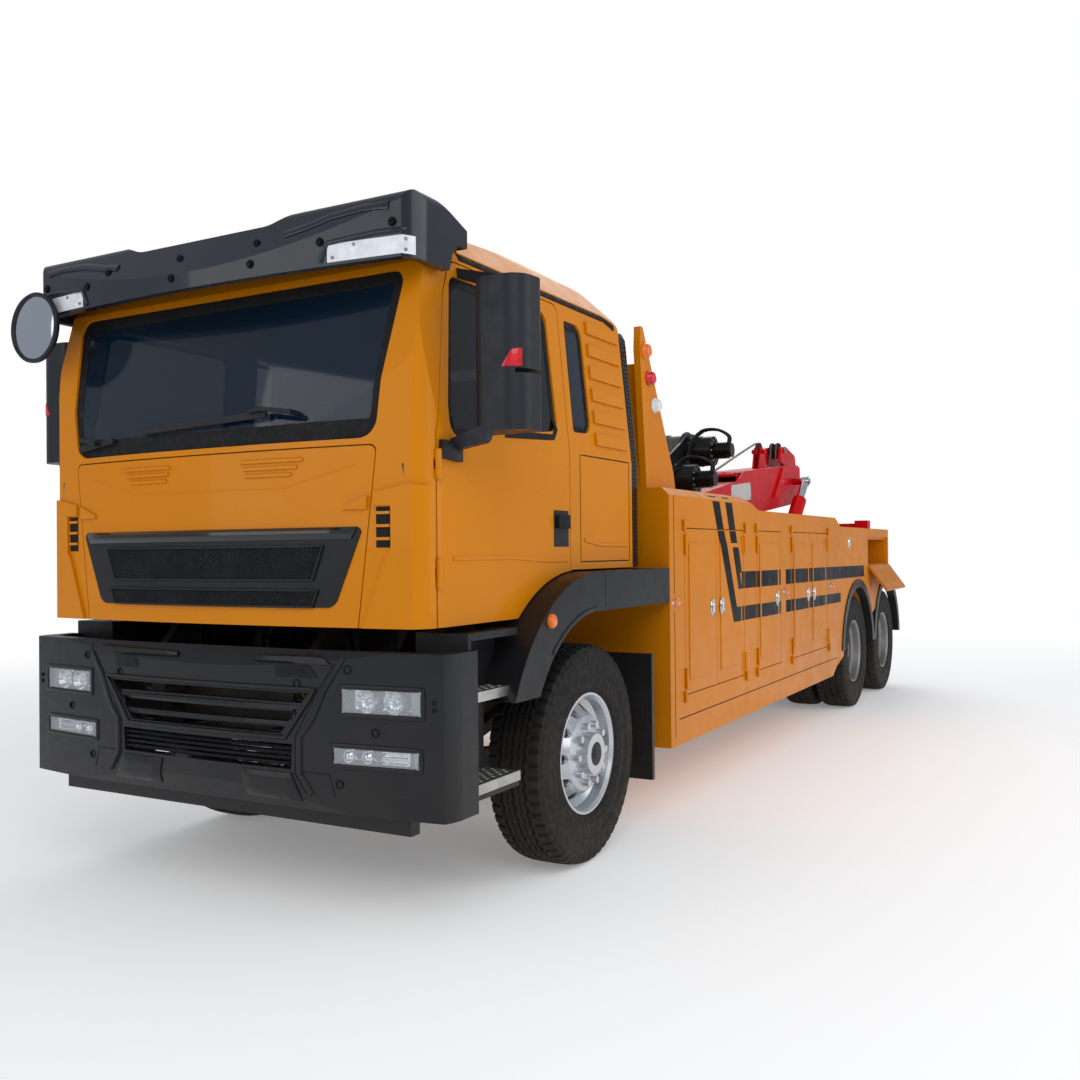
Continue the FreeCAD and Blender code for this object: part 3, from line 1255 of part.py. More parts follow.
# Ribs are pressed into the roof, the back and the rear of each side, and a raised panel with a
# cap and a slot wraps each front corner down to the cab's foot.
raised_skin = cut("raised_skin", cab_form("raised_out", "-cab_raise"), [cab_form("raised_in", "cab_raise")])
rib_blocks = []
for i in range(6):
    foot = f"cab_belt + 64 + {118 * i}"
    rib_blocks += both_sides(f"side_rib_{i}", block(f"side_rib_block_{i}", "cab_half - 200",
                                                    "cab_half + 50", "cab_rear - 450",
                                                    "cab_rear - 60", foot, f"{foot} + 62"))
for i in range(5):
    middle = 330 * (i - 2)
    rib_blocks.append(block(f"roof_rib_block_{i}", f"{middle} - 36", f"{middle} + 36", "-550",
                            "cab_rear - 250", "cab_top - 120",
                            "cab_top + 50"))
for i in range(3):
    foot = f"cab_arch_low + 138 + {180 * i}"
    rib_blocks.append(
        block(f"back_rib_block_{i}", "-850", "850", "cab_rear - 80", "cab_rear + 50", foot, f"{foot} + 60")
    )
corner_panel = slab("corner_panel", "front", "cab_front - 60", "door_front - 20", (
    ("flap_low_half + 26", "cab_low"),
    ("flap_low_half + 138", "1530"),
    ("flap_low_half + 160", "1560"),
    ("flap_low_half + 160", "1735"),
    ("flap_high_half - 10", "1735"),
    ("flap_high_half - 10", "1788"),
    ("flap_high_half + 145", "1818", "60"),
    ("cab_half + 30", "1806"),
    ("cab_half + 30", "cab_low"),
))
cab_pressed = fuse("cab_pressed",
                   [cab_skin, common("pressings", [raised_skin, fuse("rib_blocks", rib_blocks)])]
                   + both_sides("corner_panels", common("corner_pressing", [raised_skin, corner_panel])))


def door_outline(gap):
    """The door's edge as seen from the side, set in by a gap."""
    return (
        (f"door_front + {gap}", f"cab_low - 10"),
        (f"door_front + {gap}", "cab_belt"),
        (f"door_front + 123 + {gap}", "door_high - 155"),
        (f"door_front + 190 + {gap}", f"door_high - {gap}", "70"),
        (f"door_rear - {gap}", f"door_high - {gap}", "50"),
        (f"door_rear - {gap}", f"cab_low - 10"),
    )


def window_outline(gap):
    return (
        (f"door_front + 95 + {gap}", f"side_window_low - 50 + {gap}", "70"),
        (f"door_front + 95 + {gap}", "side_window_low + 90"),
        (f"door_front + 185 + {gap}", f"side_window_high - {gap}", "60"),
        (f"door_rear - 130 - {gap}", f"side_window_high - {gap}", "60"),
        (f"door_rear - 110 - {gap}", f"side_window_low + 70 + {gap}", "60"),
    )


def quarter_outline(gap):
    return (
        (f"door_rear + 60 + {gap}", f"side_window_low + 80 + {gap}", "20"),
        (f"door_rear + 60 + {gap}", f"side_window_high - {gap}", "20"),
        (f"door_rear + 250 - {gap}", f"side_window_high - {gap}", "70"),
        (f"door_rear + 265 - {gap}", f"side_window_low + 90 + {gap}", "70"),
    )


def screen_outline(gap):
    return (
        (f"screen_low_half - {gap}", f"screen_low + {gap}", "90"),
        (f"screen_high_half - {gap}", f"screen_high - {gap}", "60"),
        (f"-screen_high_half + {gap}", f"screen_high - {gap}", "60"),
        (f"-screen_low_half + {gap}", f"screen_low + {gap}", "90"),
    )


def flap_outline(gap):
    return (
        (f"flap_low_half - {gap}", "flap_low - 10"),
        (f"flap_high_half - {gap}", f"flap_high - {gap}", "30"),
        (f"-flap_high_half + {gap}", f"flap_high - {gap}", "30"),
        (f"-flap_low_half + {gap}", "flap_low - 10"),
    )


floor_edge = block("floor_edge", "0", "cab_half - cab_wall", "cab_front", "cab_rear", "cab_low - 20",
                   "cab_low + cab_wall")
floor_step = block("floor_step", "0", "cab_half - cab_wall", "-40 - cab_wall", "cab_rear", "cab_low",
                   "cab_arch_low + cab_wall")
door_hole_prism = slab("door_hole_prism", "side", "cab_half - 300", "cab_half + 50", door_outline("0"))
door_hole = cut("door_hole", door_hole_prism, [floor_edge, floor_step])
quarter_hole = slab("quarter_hole", "side", "cab_half - 300", "cab_half + 50", quarter_outline("0"))
screen_hole = slab("screen_hole", "front", "cab_front - 100", "cab_front + 330", screen_outline("0"))
flap_hole = cut("flap_hole",
                slab("flap_prism", "front", "cab_front - 100", "cab_front + 196", flap_outline("0")),
                [cab_form("flap_back", "flap_wall + seat_gap")])
rear_window_hole = slab("rear_window_hole", "front", "cab_rear - 200", "cab_rear + 50", (
    ("480", "side_window_low + 120", "50"),
    ("480", "side_window_high - 60", "50"),
    ("-480", "side_window_high - 60", "50"),
    ("-480", "side_window_low + 120", "50"),
))
KNUCKLES = (
    # name, foot of the shell's lower knuckle
    ("low", "1400"),
    ("high", "1840"),
)
shell_knuckles = []
shell_notches = []
door_knuckles = []
door_notches = []
for name, foot in KNUCKLES:
    for i in (0, 2):
        base = f"{foot} + {i} * hinge_knuckle_length"
        shell_knuckles.append(rod(f"shell_knuckle_{name}_{i}", "z",
                                  ("cab_half", "door_front + joint_gap", base), "hinge_knuckle_length",
                                  "hinge_knuckle_radius"))
        door_notches.append(rod(f"door_notch_{name}_{i}", "z",
                                ("cab_half", "door_front + joint_gap", f"{base} - seat_gap"),
                                "hinge_knuckle_length + 2 * seat_gap", "hinge_knuckle_radius + joint_gap"))
    base = f"{foot} + hinge_knuckle_length"
    door_knuckles.append(rod(f"door_knuckle_{name}", "z",
                             ("cab_half", "door_front + joint_gap", f"{base} + seat_gap"),
                             "hinge_knuckle_length - 2 * seat_gap", "hinge_knuckle_radius"))
    shell_notches.append(rod(f"shell_notch_{name}", "z", ("cab_half", "door_front + joint_gap", base),
                             "hinge_knuckle_length",
                             "hinge_knuckle_radius + joint_gap"))
cab_lug_plate = slab("cab_lug_plate", "side", "rail_half + joint_gap", "rail_half + joint_gap + 40", (
    ("cab_pivot_y - 42", "cab_pivot_z - 42", "40"),
    ("cab_pivot_y + 42", "cab_pivot_z - 42", "40"),
    ("cab_pivot_y + 290", "cab_low + 20"),
    ("cab_pivot_y + 170", "cab_low + 20"),
    ("cab_pivot_y - 42", "cab_pivot_z + 42", "40"),
))
cab_lug_bore = rod("cab_lug_bore", "x", ("rail_half", "cab_pivot_y", "cab_pivot_z"), "60",
                   "cab_pin_radius + kingpin_clearance")
cab_lug = cut("cab_lug", cab_lug_plate, [cab_lug_bore])
cab_shell = cut("cab_shell_open", cab_pressed,
                both_sides("door_holes", door_hole) + both_sides("quarter_holes", quarter_hole)
                + [screen_hole, flap_hole, rear_window_hole])
notched_shell = cut("notched_shell", cab_shell,
                    both_sides("shell_notches", fuse("shell_notch_pair", shell_notches)))
keep("cab_shell", fuse("cab_shell_lugged", [notched_shell] + both_sides("cab_lugs", cab_lug)
                       + both_sides("shell_knuckles", group("shell_knuckle_set", shell_knuckles))))

pane = cut("pane", cab_form("pane_out", "14"), [cab_form("pane_in", "14 + glass_wall")])
screen_pane = common("screen_pane", [pane, screen_hole])
quarter_pane = common("quarter_pane", [pane, quarter_hole])
rear_pane = common("rear_pane", [pane, rear_window_hole])
keep("cab_glass", screen_pane, *both_sides("quarter_panes", quarter_pane), rear_pane)

door_sill = block("door_sill", "0", "cab_half - cab_wall + joint_gap", "cab_front", "cab_rear",
                  "cab_low - 20", "cab_low + cab_wall + joint_gap")
door_step = block("door_step", "0", "cab_half - cab_wall + joint_gap", "-40 - cab_wall - joint_gap",
                  "cab_rear", "cab_low", "cab_arch_low + cab_wall + joint_gap")
door_prism = cut("door_prism", slab("door_prism_side", "side", "cab_half - 300", "cab_half + 50",
                                    door_outline("joint_gap")), [door_sill, door_step])
DOOR_EDGE = (
    # height, how far the front edge lies behind the hinge line, how far the skin leans in there
    ("cab_low - 20", "0", "13"),
    ("cab_belt", "0", "13"),
    ("door_high - 155", "123", "side_lean * 0.8"),
    ("door_high + 10", "194", "side_lean"),
)
bevel_sections = []
for height, edge, lean_here in DOOR_EDGE:
    skin_x = f"(cab_half - {lean_here})"
    edge_y = f"(door_front + joint_gap + {edge})"
    bevel_sections.append((height, (
        (f"{skin_x} + 10", f"{edge_y} - 12"),
        (f"{skin_x} - 90", f"{edge_y} - 12"),
        (f"{skin_x} - 90", f"{edge_y} + 108"),
    )))
door_bevel = loft("door_bevel", bevel_sections)
window_hole = slab("window_hole", "side", "cab_half - 300", "cab_half + 50", window_outline("0"))
door_skin = cut("door_skin", cab_outer, [cab_inner, wheel_room])
cab_door = fuse("cab_door",
                [cut("cab_door_open", common("door_cut", [door_skin, door_prism]),
                     [window_hole, door_bevel] + door_notches)]
                + door_knuckles)
door_left = keep("cab_door_left", cab_door)
keep_mirror("cab_door_right", door_left)
door_pane = keep("door_glass_left", common("door_pane", [pane, window_hole]))
keep_mirror("door_glass_right", door_pane)

flap_skin = cut("flap_skin", cab_outer, [cab_form("flap_inside", "flap_wall")])
flap_prism = slab("flap_prism_small", "front", "cab_front - 100", "cab_front + 190",
                  flap_outline("joint_gap"))
grille_outline = (
    ("grille_low_half", "grille_low", "60"),
    ("grille_high_half", "grille_high", "20"),
    ("-grille_high_half", "grille_high", "20"),
    ("-grille_low_half", "grille_low", "60"),
)
grille_hole = slab("grille_hole", "front", "cab_front - 100", "cab_front + 300", grille_outline)
keep("front_flap", cut("flap_panel", common("flap_cut", [flap_skin, flap_prism]), [grille_hole]))
grille_skin = cut("grille_skin", cab_form("grille_out", "-6"), [cab_form("grille_in", "grille_wall - 6")])
mesh_rows = [block(f"grille_slot_{i}", "-600", "600", "cab_front - 100", "cab_front + 300",
                   f"grille_low + {z}",
                   f"grille_low + {z} + 34") for i, z in enumerate((20, 130, 180))]
keep("grille", cut("grille_slotted", common("grille_plate", [grille_skin, grille_hole]), mesh_rows))


def visor_form(name, inset):
    face = slab(name + "_face", "front", "cab_front - 100", "cab_front + 420", (
        (f"visor_half - ({inset})", f"visor_low - ({inset})"),
        (f"visor_half - ({inset})", f"visor_high - ({inset})", "50"),
        (f"visor_half - 560", f"visor_high - ({inset})", "200"),
        ("390", f"visor_high - 60 - ({inset})", "200"),
        ("-390", f"visor_high - 60 - ({inset})", "200"),
        (f"-visor_half + 560", f"visor_high - ({inset})", "200"),
        (f"-visor_half + ({inset})", f"visor_high - ({inset})", "50"),
        (f"-visor_half + ({inset})", f"visor_low - ({inset})"),
    ))
    profile = slab(name + "_profile", "side", "-visor_half - 20", "visor_half + 20", (
        (f"cab_front - 78 + ({inset})", f"visor_low - ({inset})"),
        (f"cab_front - 78 + ({inset})", "visor_low + 70"),
        (f"cab_front + 10 + ({inset})", f"visor_high - 20 - ({inset})", "50"),
        ("cab_front + 150", f"visor_high - ({inset})", "60"),
        (f"cab_front + 400 - ({inset})", f"cab_top - 90 - ({inset})"),
        (f"cab_front + 400 - ({inset})", f"visor_low - ({inset})"),
    ))
    plan = slab(name + "_plan", "top", "visor_low - 50", "visor_high + 100", (
        (f"visor_half - ({inset})", "cab_front + 420"),
        (f"visor_half - ({inset})", f"cab_front - 82 + ({inset})", f"200 - ({inset})"),
        (f"-visor_half + ({inset})", f"cab_front - 82 + ({inset})", f"200 - ({inset})"),
        (f"-visor_half + ({inset})", "cab_front + 420"),
    ))
    bow = rod(name + "_bow", "z", ("0", f"cab_front - 78 + cab_bow_radius + ({inset})", "visor_low - 60"),
              "600", "cab_bow_radius")
    return common(name, [face, profile, plan, bow])


visor_lamp_hole = block("visor_lamp_hole", "735", "1105", "cab_front - 100", "cab_front + 60",
                        "visor_low + 12", "visor_low + 85")
door_room = slab("door_room", "side", "cab_half - 200", "cab_half + 50", door_outline("(-door_swing_room)"))
visor_trimmed = cut("visor_trimmed", visor_form("visor_outer", "0"),
                    [visor_form("visor_inner", "visor_wall"), cab_outer]
                    + both_sides("door_rooms", door_room))
keep("sun_visor", cut("visor_holed", visor_trimmed, both_sides("visor_lamp_holes", visor_lamp_hole)))
visor_lamp = common("visor_lamp", [visor_trimmed, visor_lamp_hole])
keep("cab_lamps", *both_sides("visor_lamps", visor_lamp))

SEATS = (
    # name, middle across
    ("driver", "600"),
    ("mate", "-600"),
)
seat_solids = []
for name, middle in SEATS:
    seat_solids.append(fuse(f"{name}_seat", [
        block(f"{name}_base", f"{middle} - 140", f"{middle} + 140", "-420", "-60", "cab_arch_low - 80",
              "cab_arch_low + 190"),
        block(f"{name}_cushion", f"{middle} - 250", f"{middle} + 250", "-480", "20", "cab_arch_low + 190",
              "cab_arch_low + 330"),
        slab(f"{name}_back", "side", f"{middle} - 240", f"{middle} + 240", (
            ("-60", "cab_arch_low + 300", "40"),
            ("60", "cab_arch_low + 960", "50"),
            ("170", "cab_arch_low + 960", "50"),
            ("90", "cab_arch_low + 250", "40"),
        )),
    ]))
dash = slab("dash", "side", "-cab_half + cab_wall + 30", "cab_half - cab_wall - 30", (
    ("cab_front + 20", "cab_arch_low + 100"),
    ("cab_front + 20", "screen_low - 60"),
    ("cab_front + 330", "screen_low - 10", "60"),
    ("cab_front + 470", "screen_low - 150", "60"),
    ("cab_front + 420", "cab_arch_low + 100"),
))
steering_column = rod("steering_column", "z", ("600", "cab_front + 400", "cab_arch_low + 300"),
                      "screen_low - cab_arch_low - 310", "40")
steering_ring = cut("steering_ring",
                    rod("steering_disc", "z", ("600", "cab_front + 400", "screen_low - 20"), "28", "230"),
                    [rod("steering_void_a", "z", ("600", "cab_front + 400", "screen_low - 25"), "40", "200")])
steering_bar = block("steering_bar", "600 - 205", "600 + 205", "cab_front + 370", "cab_front + 430",
                     "screen_low - 20", "screen_low + 4")
dashboard = fuse("dashboard", [dash, steering_column, steering_ring, steering_bar])
front_mirror = cut("front_mirror_on_arm", fuse("front_mirror", [
    rod("front_mirror_dish", "y", ("-1060", "cab_front - 78", "visor_low - 55"), "45", "170"),
    rod("front_mirror_arm", "y", ("-1060", "cab_front - 60", "visor_low + 106"), "60", "14"),
]), [visor_trimmed, cab_outer])
fittings = [common(f"fitting_{i}", [solid, cab_room]) for i, solid in enumerate(seat_solids + [dashboard])]
# A slotted air duct stands against the back edge of each side.
duct_column = slab("duct_column", "front", "cab_rear + seat_gap", "cab_rear + 95", (
    ("cab_half - 110", "cab_arch_low"),
    ("cab_half - 6", "cab_arch_low"),
    ("cab_half - 6", "cab_belt"),
    ("cab_half - side_lean - 4", "door_high", "40"),
    ("cab_half - side_lean - 110", "door_high"),
    ("cab_half - 110", "cab_belt"),
))
duct_slots = [block(f"duct_slot_{i}", "cab_half - 220", "cab_half + 20", "cab_rear + 22", "cab_rear + 72",
                    f"cab_arch_low + 50 + {140 * i}", f"cab_arch_low + 145 + {140 * i}") for i in range(9)]
duct = cut("duct", duct_column, duct_slots)
keep("cab_fittings", *fittings, front_mirror, *both_sides("ducts", duct))

# Mirrors: two arms on the door's front edge carry a tall housing in two parts.
mirror_case = slab("mirror_case", "top", "mirror_low", "mirror_high", (
    ("mirror_place - 115", "mirror_y - 110", "60"),
    ("mirror_place + 115", "mirror_y - 110", "90"),
    ("mirror_place + 125", "mirror_y + 60", "30"),
    ("mirror_place - 125", "mirror_y + 60", "30"),
))
mirror_split = block("mirror_split", "mirror_place - 200", "mirror_place + 200", "mirror_y - 95",
                     "mirror_y + 200",
                     "mirror_low + 225", "mirror_low + 243")
arm_top = slab("mirror_arm_top", "front", "mirror_y + 50", "mirror_y + 90", (
    ("mirror_place - 80", "mirror_high - 20"),
    ("mirror_place - 30", "mirror_high - 20"),
    ("mirror_place - 50", "mirror_high + 40", "30"),
    ("cab_half - side_lean - 30", "side_window_high + 50"),
    ("cab_half - side_lean - 30", "side_window_high + 14"),
))
arm_low = slab("mirror_arm_low", "front", "mirror_y - 110", "mirror_y - 70", (
    ("cab_half - 20", "mirror_low - 75"),
    ("cab_half - 20", "mirror_low - 30"),
    ("mirror_place - 80", "mirror_low + 20"),
    ("mirror_place - 30", "mirror_low + 20"),
    ("mirror_place - 50", "mirror_low - 45", "30"),
))
mirror_left = keep("door_mirror_left", cut("mirror_on_door", fuse("mirror_assembly", [
    cut("mirror_housing", mirror_case, [mirror_split]), arm_top, arm_low]), [cab_outer]))
keep_mirror("door_mirror_right", mirror_left)

# --- Bumper, wings, steps, lamps --------------------------------------------------------------
bumper_plan = slab("bumper_plan", "top", "bumper_low", "bumper_high", (
    ("bumper_half", "bumper_rear"),
    ("bumper_half", "bumper_front - 5", "190"),
    ("-bumper_half", "bumper_front - 5", "190"),
    ("-bumper_half", "bumper_rear"),
))
bumper_bow = rod("bumper_bow", "z", ("0", "bumper_front + cab_bow_radius", "bumper_low - 10"), "1000",
                 "cab_bow_radius")
bumper_core = slab("bumper_core", "top", "bumper_low - 5", "bumper_high + 5", (
    ("bumper_half - bumper_depth", "bumper_rear + 5"),
    ("bumper_half - bumper_depth", "bumper_front + 90 + bumper_depth", "100"),
    ("700", "bumper_front + 30 + bumper_depth"),
    ("500", "bumper_front + bumper_depth"),
    ("-500", "bumper_front + bumper_depth"),
    ("-700", "bumper_front + 30 + bumper_depth"),
    ("-bumper_half + bumper_depth", "bumper_front + 90 + bumper_depth", "100"),
    ("-bumper_half + bumper_depth", "bumper_rear + 5"),
))
bumper_profile = slab("bumper_profile", "side", "-bumper_half - 5", "bumper_half + 5", (
    ("bumper_front - 10", "bumper_low + 110", "40"),
    ("bumper_front - 10", "bumper_high - 90", "60"),
    ("bumper_front + 60", "bumper_high"),
    ("bumper_rear + 5", "bumper_high"),
    ("bumper_rear + 5", "bumper_low"),
    ("bumper_front + 40", "bumper_low"),
))
intake = slab("intake", "front", "bumper_front - 50", "bumper_front + 300", (
    ("intake_low_half", "intake_low"),
    ("intake_high_half", "intake_high"),
    ("-intake_high_half", "intake_high"),
    ("-intake_low_half", "intake_low"),
))
slot = slab("lower_slot", "front", "bumper_front - 50", "bumper_front + 300", (
    ("500", "655"),
    ("intake_low_half + 60", "760"),
    ("-intake_low_half - 60", "760"),
    ("-500", "655"),
))
intake_bar = block("intake_bar", "-intake_high_half - 20", "intake_high_half + 20", "bumper_front + 30",
                   "bumper_front + 60",
                   "intake_high - 70", "intake_high - 45")
FRONT_LAMPS = (
    # name, inner end, outer end, low, high
    ("headlamp", 740, 1128, 892, 1010),
    ("foglamp", 700, 1118, 684, 772),
)
lamp_holes = []
for name, inner, outer, low, high in FRONT_LAMPS:
    lamp_holes.append(
        block(f"{name}_hole", inner, outer, "bumper_front - 50", "bumper_front + 200", low, high)
    )
bumper_solid = common("bumper_solid", [bumper_plan, bumper_profile, bumper_bow])
bumper_skin = cut("bumper_skin", bumper_solid, [bumper_core, intake, slot]
                  + both_sides("lamp_holes", fuse("lamp_hole_pair", lamp_holes)))
underrun = block("underrun", "-underrun_half", "underrun_half", "bumper_front + 120", "bumper_front + 180",
                 "underrun_low", "bumper_low + 60")
bumper_stay = block("bumper_stay", "rail_half - rail_flange", "rail_half",
                    "bumper_front + bumper_depth - 10", "frame_front",
                    "rail_low", "rail_low + 65")
keep("bumper",
     fuse("bumper_assembly", [bumper_skin, intake_bar, underrun] + both_sides("bumper_stays", bumper_stay)))

lamp_skin = cut("lamp_skin", bumper_solid, [bumper_core])
front_lamps = []
for name, inner, outer, low, high in FRONT_LAMPS:
    filler = block(f"{name}_block", f"{inner} + seat_gap", f"{outer} - seat_gap", "bumper_front - 50",
                   "bumper_front + 190",
                   f"{low} + seat_gap", f"{high} - seat_gap")
    front_lamps += both_sides(f"{name}s", common(name, [filler, lamp_skin]))
rear_lamp = block("rear_lamp", "830", "1130", "frame_rear + 3 * seat_gap", "frame_rear + 45",
                  "rear_bar_low + 20", "rear_bar_high - 20")
board_lamps = [block(f"board_lamp_{i}", "headboard_half", "headboard_half + 45", f"headboard_front + {y}",
                     f"headboard_front + {y} + 60",
                     f"headboard_high - {z}", f"headboard_high - {z} + 90") for i, (y,
                     z) in enumerate(((30, 180), (90, 330), (170, 480)))]
keep("lamps", *front_lamps, *both_sides("rear_lamps", rear_lamp), *board_lamps)

wing_disc = rod("wing_disc", "x", ("wing_inner", "0", "tyre_radius"), "half_width - wing_inner",
                "wing_radius")
wing_ring = cut("wing_ring", wing_disc, [
    rod("wing_bore", "x", ("wing_inner - 5", "0", "tyre_radius"),
        "half_width - wing_inner - wing_lip_depth + 5", "wing_radius - wing_wall"),
    rod("wing_lip_bore", "x", ("wing_inner - 5", "0", "tyre_radius"), "half_width", "wing_radius - wing_lip"),
    block("wing_rear_trim", "0", "2000", "80", "2000", "-800", "2000"),
    block("wing_front_trim", "0", "2000", "-2000", "100", "-800", "wing_foot"),
])
wing_tail = block("wing_tail", "wing_inner", "half_width", "80", "body_front",
                  "wing_radius + tyre_radius - wing_wall", "wing_radius + tyre_radius")
wing_tail_lip = block("wing_tail_lip", "half_width - wing_lip_depth", "half_width", "80", "body_front",
                      "wing_radius + tyre_radius - wing_lip",
                      "wing_radius + tyre_radius")
wing = fuse("wing_moulding", [wing_ring, wing_tail, wing_tail_lip])
mudflap = fuse("mudflap_on_stay", [
    block("mudflap", "front_track_half - tyre_half_width", "half_width - 20", "700", "730", "276", "971"),
    rod("mudflap_stay", "x", ("rail_half", "715", "940"), "half_width - 30 - rail_half", "14"),
])
step_well = cut("step_well", block("step_box", "step_inner", "half_width - 60", "bumper_rear + seat_gap",
                                   "step_rear", "lower_step_z - 60",
                                   "cab_low - 30"), [
    block("lower_step_void", "step_inner + 80", "half_width", "bumper_rear + 20", "step_rear + 10",
          "lower_step_z", "upper_step_z - step_wall"),
    block("upper_step_void", "step_inner + 140", "half_width", "bumper_rear + 20", "step_rear + 10",
          "upper_step_z", "cab_low - 60"),
])
guard_parts = flare_parts + [wing, mudflap, step_well]
keep("guards_and_steps", *guard_parts,
     *[mirror(f"guard_right_{i}", part) for i, part in enumerate(guard_parts)])

doc.recompute()
for item in doc.Objects:
    if "Invalid" in item.State or "Error" in item.State:
        raise RuntimeError(f"{item.Label} failed: {item.State}")
os.makedirs("parts", exist_ok=True)
for piece in KEPT:
    shape = piece.Shape
    if shape.isNull() or not shape.isValid() or not shape.Solids:
        raise RuntimeError(f"{piece.Label} has no valid solid")
    shape.exportStep(f"parts/{piece.Label}.step")
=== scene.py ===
import bmesh
import bpy
import math
from mathutils import Matrix, Vector
from mathutils.bvhtree import BVHTree


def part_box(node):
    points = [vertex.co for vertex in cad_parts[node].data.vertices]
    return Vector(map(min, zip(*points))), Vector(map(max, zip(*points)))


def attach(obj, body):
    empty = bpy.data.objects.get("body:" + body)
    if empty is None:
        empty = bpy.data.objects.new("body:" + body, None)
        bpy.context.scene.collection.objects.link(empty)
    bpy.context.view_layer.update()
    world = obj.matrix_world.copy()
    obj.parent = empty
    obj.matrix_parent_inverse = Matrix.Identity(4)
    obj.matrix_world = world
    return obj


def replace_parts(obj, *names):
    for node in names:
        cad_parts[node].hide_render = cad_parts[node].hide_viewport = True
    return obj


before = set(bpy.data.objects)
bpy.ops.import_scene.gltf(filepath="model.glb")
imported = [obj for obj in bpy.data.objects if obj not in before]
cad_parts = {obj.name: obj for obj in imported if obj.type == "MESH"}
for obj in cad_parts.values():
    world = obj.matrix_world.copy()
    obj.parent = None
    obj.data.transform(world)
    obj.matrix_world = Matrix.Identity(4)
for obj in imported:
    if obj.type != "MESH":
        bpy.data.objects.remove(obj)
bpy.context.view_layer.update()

# ---------------------------------------------------------------- the studio
# A pale floor and a soft, even white surround, as in a dealer's yard on a bright hazy day.
# Positions in the whole file are metres with the front axle at y = 0, and AXLE places them.
low_tyre, high_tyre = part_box("tyre_front_left")
AXLE = (low_tyre.y + high_tyre.y) / 2
TYRE_RADIUS = (high_tyre.z - low_tyre.z) / 2

camera_data = bpy.data.cameras.new("camera")
camera_data.sensor_width = 36
camera_data.lens = 35.245
camera = bpy.data.objects.new("camera", camera_data)
camera_right = Vector((0.87547, 0.48317, -0.00959))
camera_up = Vector((0.01321, -0.00409, 0.99990))
camera_back = camera_right.cross(camera_up)
camera.matrix_world = Matrix((camera_right, camera_up, camera_back)).transposed().to_4x4()
camera.location = (3.5205, AXLE - 4.7127, 1.5484)
bpy.context.scene.collection.objects.link(camera)
bpy.context.scene.camera = camera
bpy.context.scene.view_settings.view_transform = "Standard"


def linear(*colour):
    """A colour given in 0 to 255 steps, as the shader wants it."""
    steps = [value / 255 for value in colour]
    return [s / 12.92 if s <= 0.04045 else ((s + 0.055) / 1.055) ** 2.4 for s in steps] + [1.0]


def wire(links, *pairs):
    """Join outputs to inputs in a shader."""
    for source, target in pairs:
        links.new(source, target)


sky = bpy.data.worlds.new("sky")
sky.use_nodes = True
sky_nodes = sky.node_tree.nodes
seen_sky = sky_nodes.new("ShaderNodeBackground")
seen_sky.inputs["Color"].default_value = (1, 1, 1, 1)
lit_sky = sky_nodes["Background"]
lit_sky.inputs["Color"].default_value = linear(232, 238, 246)
lit_sky.inputs["Strength"].default_value = 0.5
ray = sky_nodes.new("ShaderNodeLightPath")
through = sky_nodes.new("ShaderNodeMath")
through.operation = "MAXIMUM"
sky_choice = sky_nodes.new("ShaderNodeMixShader")
wire(sky.node_tree.links,
     (ray.outputs["Is Camera Ray"], through.inputs[0]),
     (ray.outputs["Is Transmission Ray"], through.inputs[1]),
     (through.outputs[0], sky_choice.inputs[0]),
     (lit_sky.outputs[0], sky_choice.inputs[1]),
     (seen_sky.outputs[0], sky_choice.inputs[2]),
     (sky_choice.outputs[0], sky_nodes["World Output"].inputs["Surface"]))
bpy.context.scene.world = sky

# name, from, towards, size, watts
LAMPS = (
    ("key_lamp", (6.5, -8.0, 7.5), (0.0, 1.0, 1.2), 7.0, 400),
    ("front_lamp", (-5.0, -10.0, 4.5), (0.0, 0.0, 1.5), 6.0, 170),
    ("side_lamp", (10.0, 3.0, 4.5), (0.0, 3.5, 1.0), 8.0, 330),
    ("back_lamp", (-3.0, 12.0, 8.0), (0.0, 3.5, 1.0), 8.0, 330),
)
for name, place, aim, size, watts in LAMPS:
    lamp_data = bpy.data.lights.new(name, "AREA")
    lamp_data.size = size
    lamp_data.energy = watts
    lamp = bpy.data.objects.new(name, lamp_data)
    lamp.location = Vector(place) + Vector((0, AXLE, 0))
    lamp.rotation_euler = (Vector(aim) - Vector(place)).to_track_quat("-Z", "Y").to_euler()
    bpy.context.scene.collection.objects.link(lamp)

floor_mesh = bpy.data.meshes.new("floor")
FLOOR_HALF = 60
floor_mesh.from_pydata([(FLOOR_HALF * x, FLOOR_HALF * y, 0) for x, y in ((-1, -1), (1, -1), (1, 1), (-1, 1))],
                       [], [(0, 1, 2, 3)])
floor = bpy.data.objects.new("floor", floor_mesh)
bpy.context.scene.collection.objects.link(floor)
floor_paint = bpy.data.materials.new("floor_paint")
floor_paint.use_nodes = True
floor_nodes = floor_paint.node_tree.nodes
floor_shader = floor_nodes["Principled BSDF"]
floor_shader.inputs["Base Color"].default_value = linear(250, 250, 249)
floor_shader.inputs["Roughness"].default_value = 0.9
floor_shader.inputs["Emission Color"].default_value = (1, 1, 1, 1)
floor_shader.inputs["Emission Strength"].default_value = 0.20
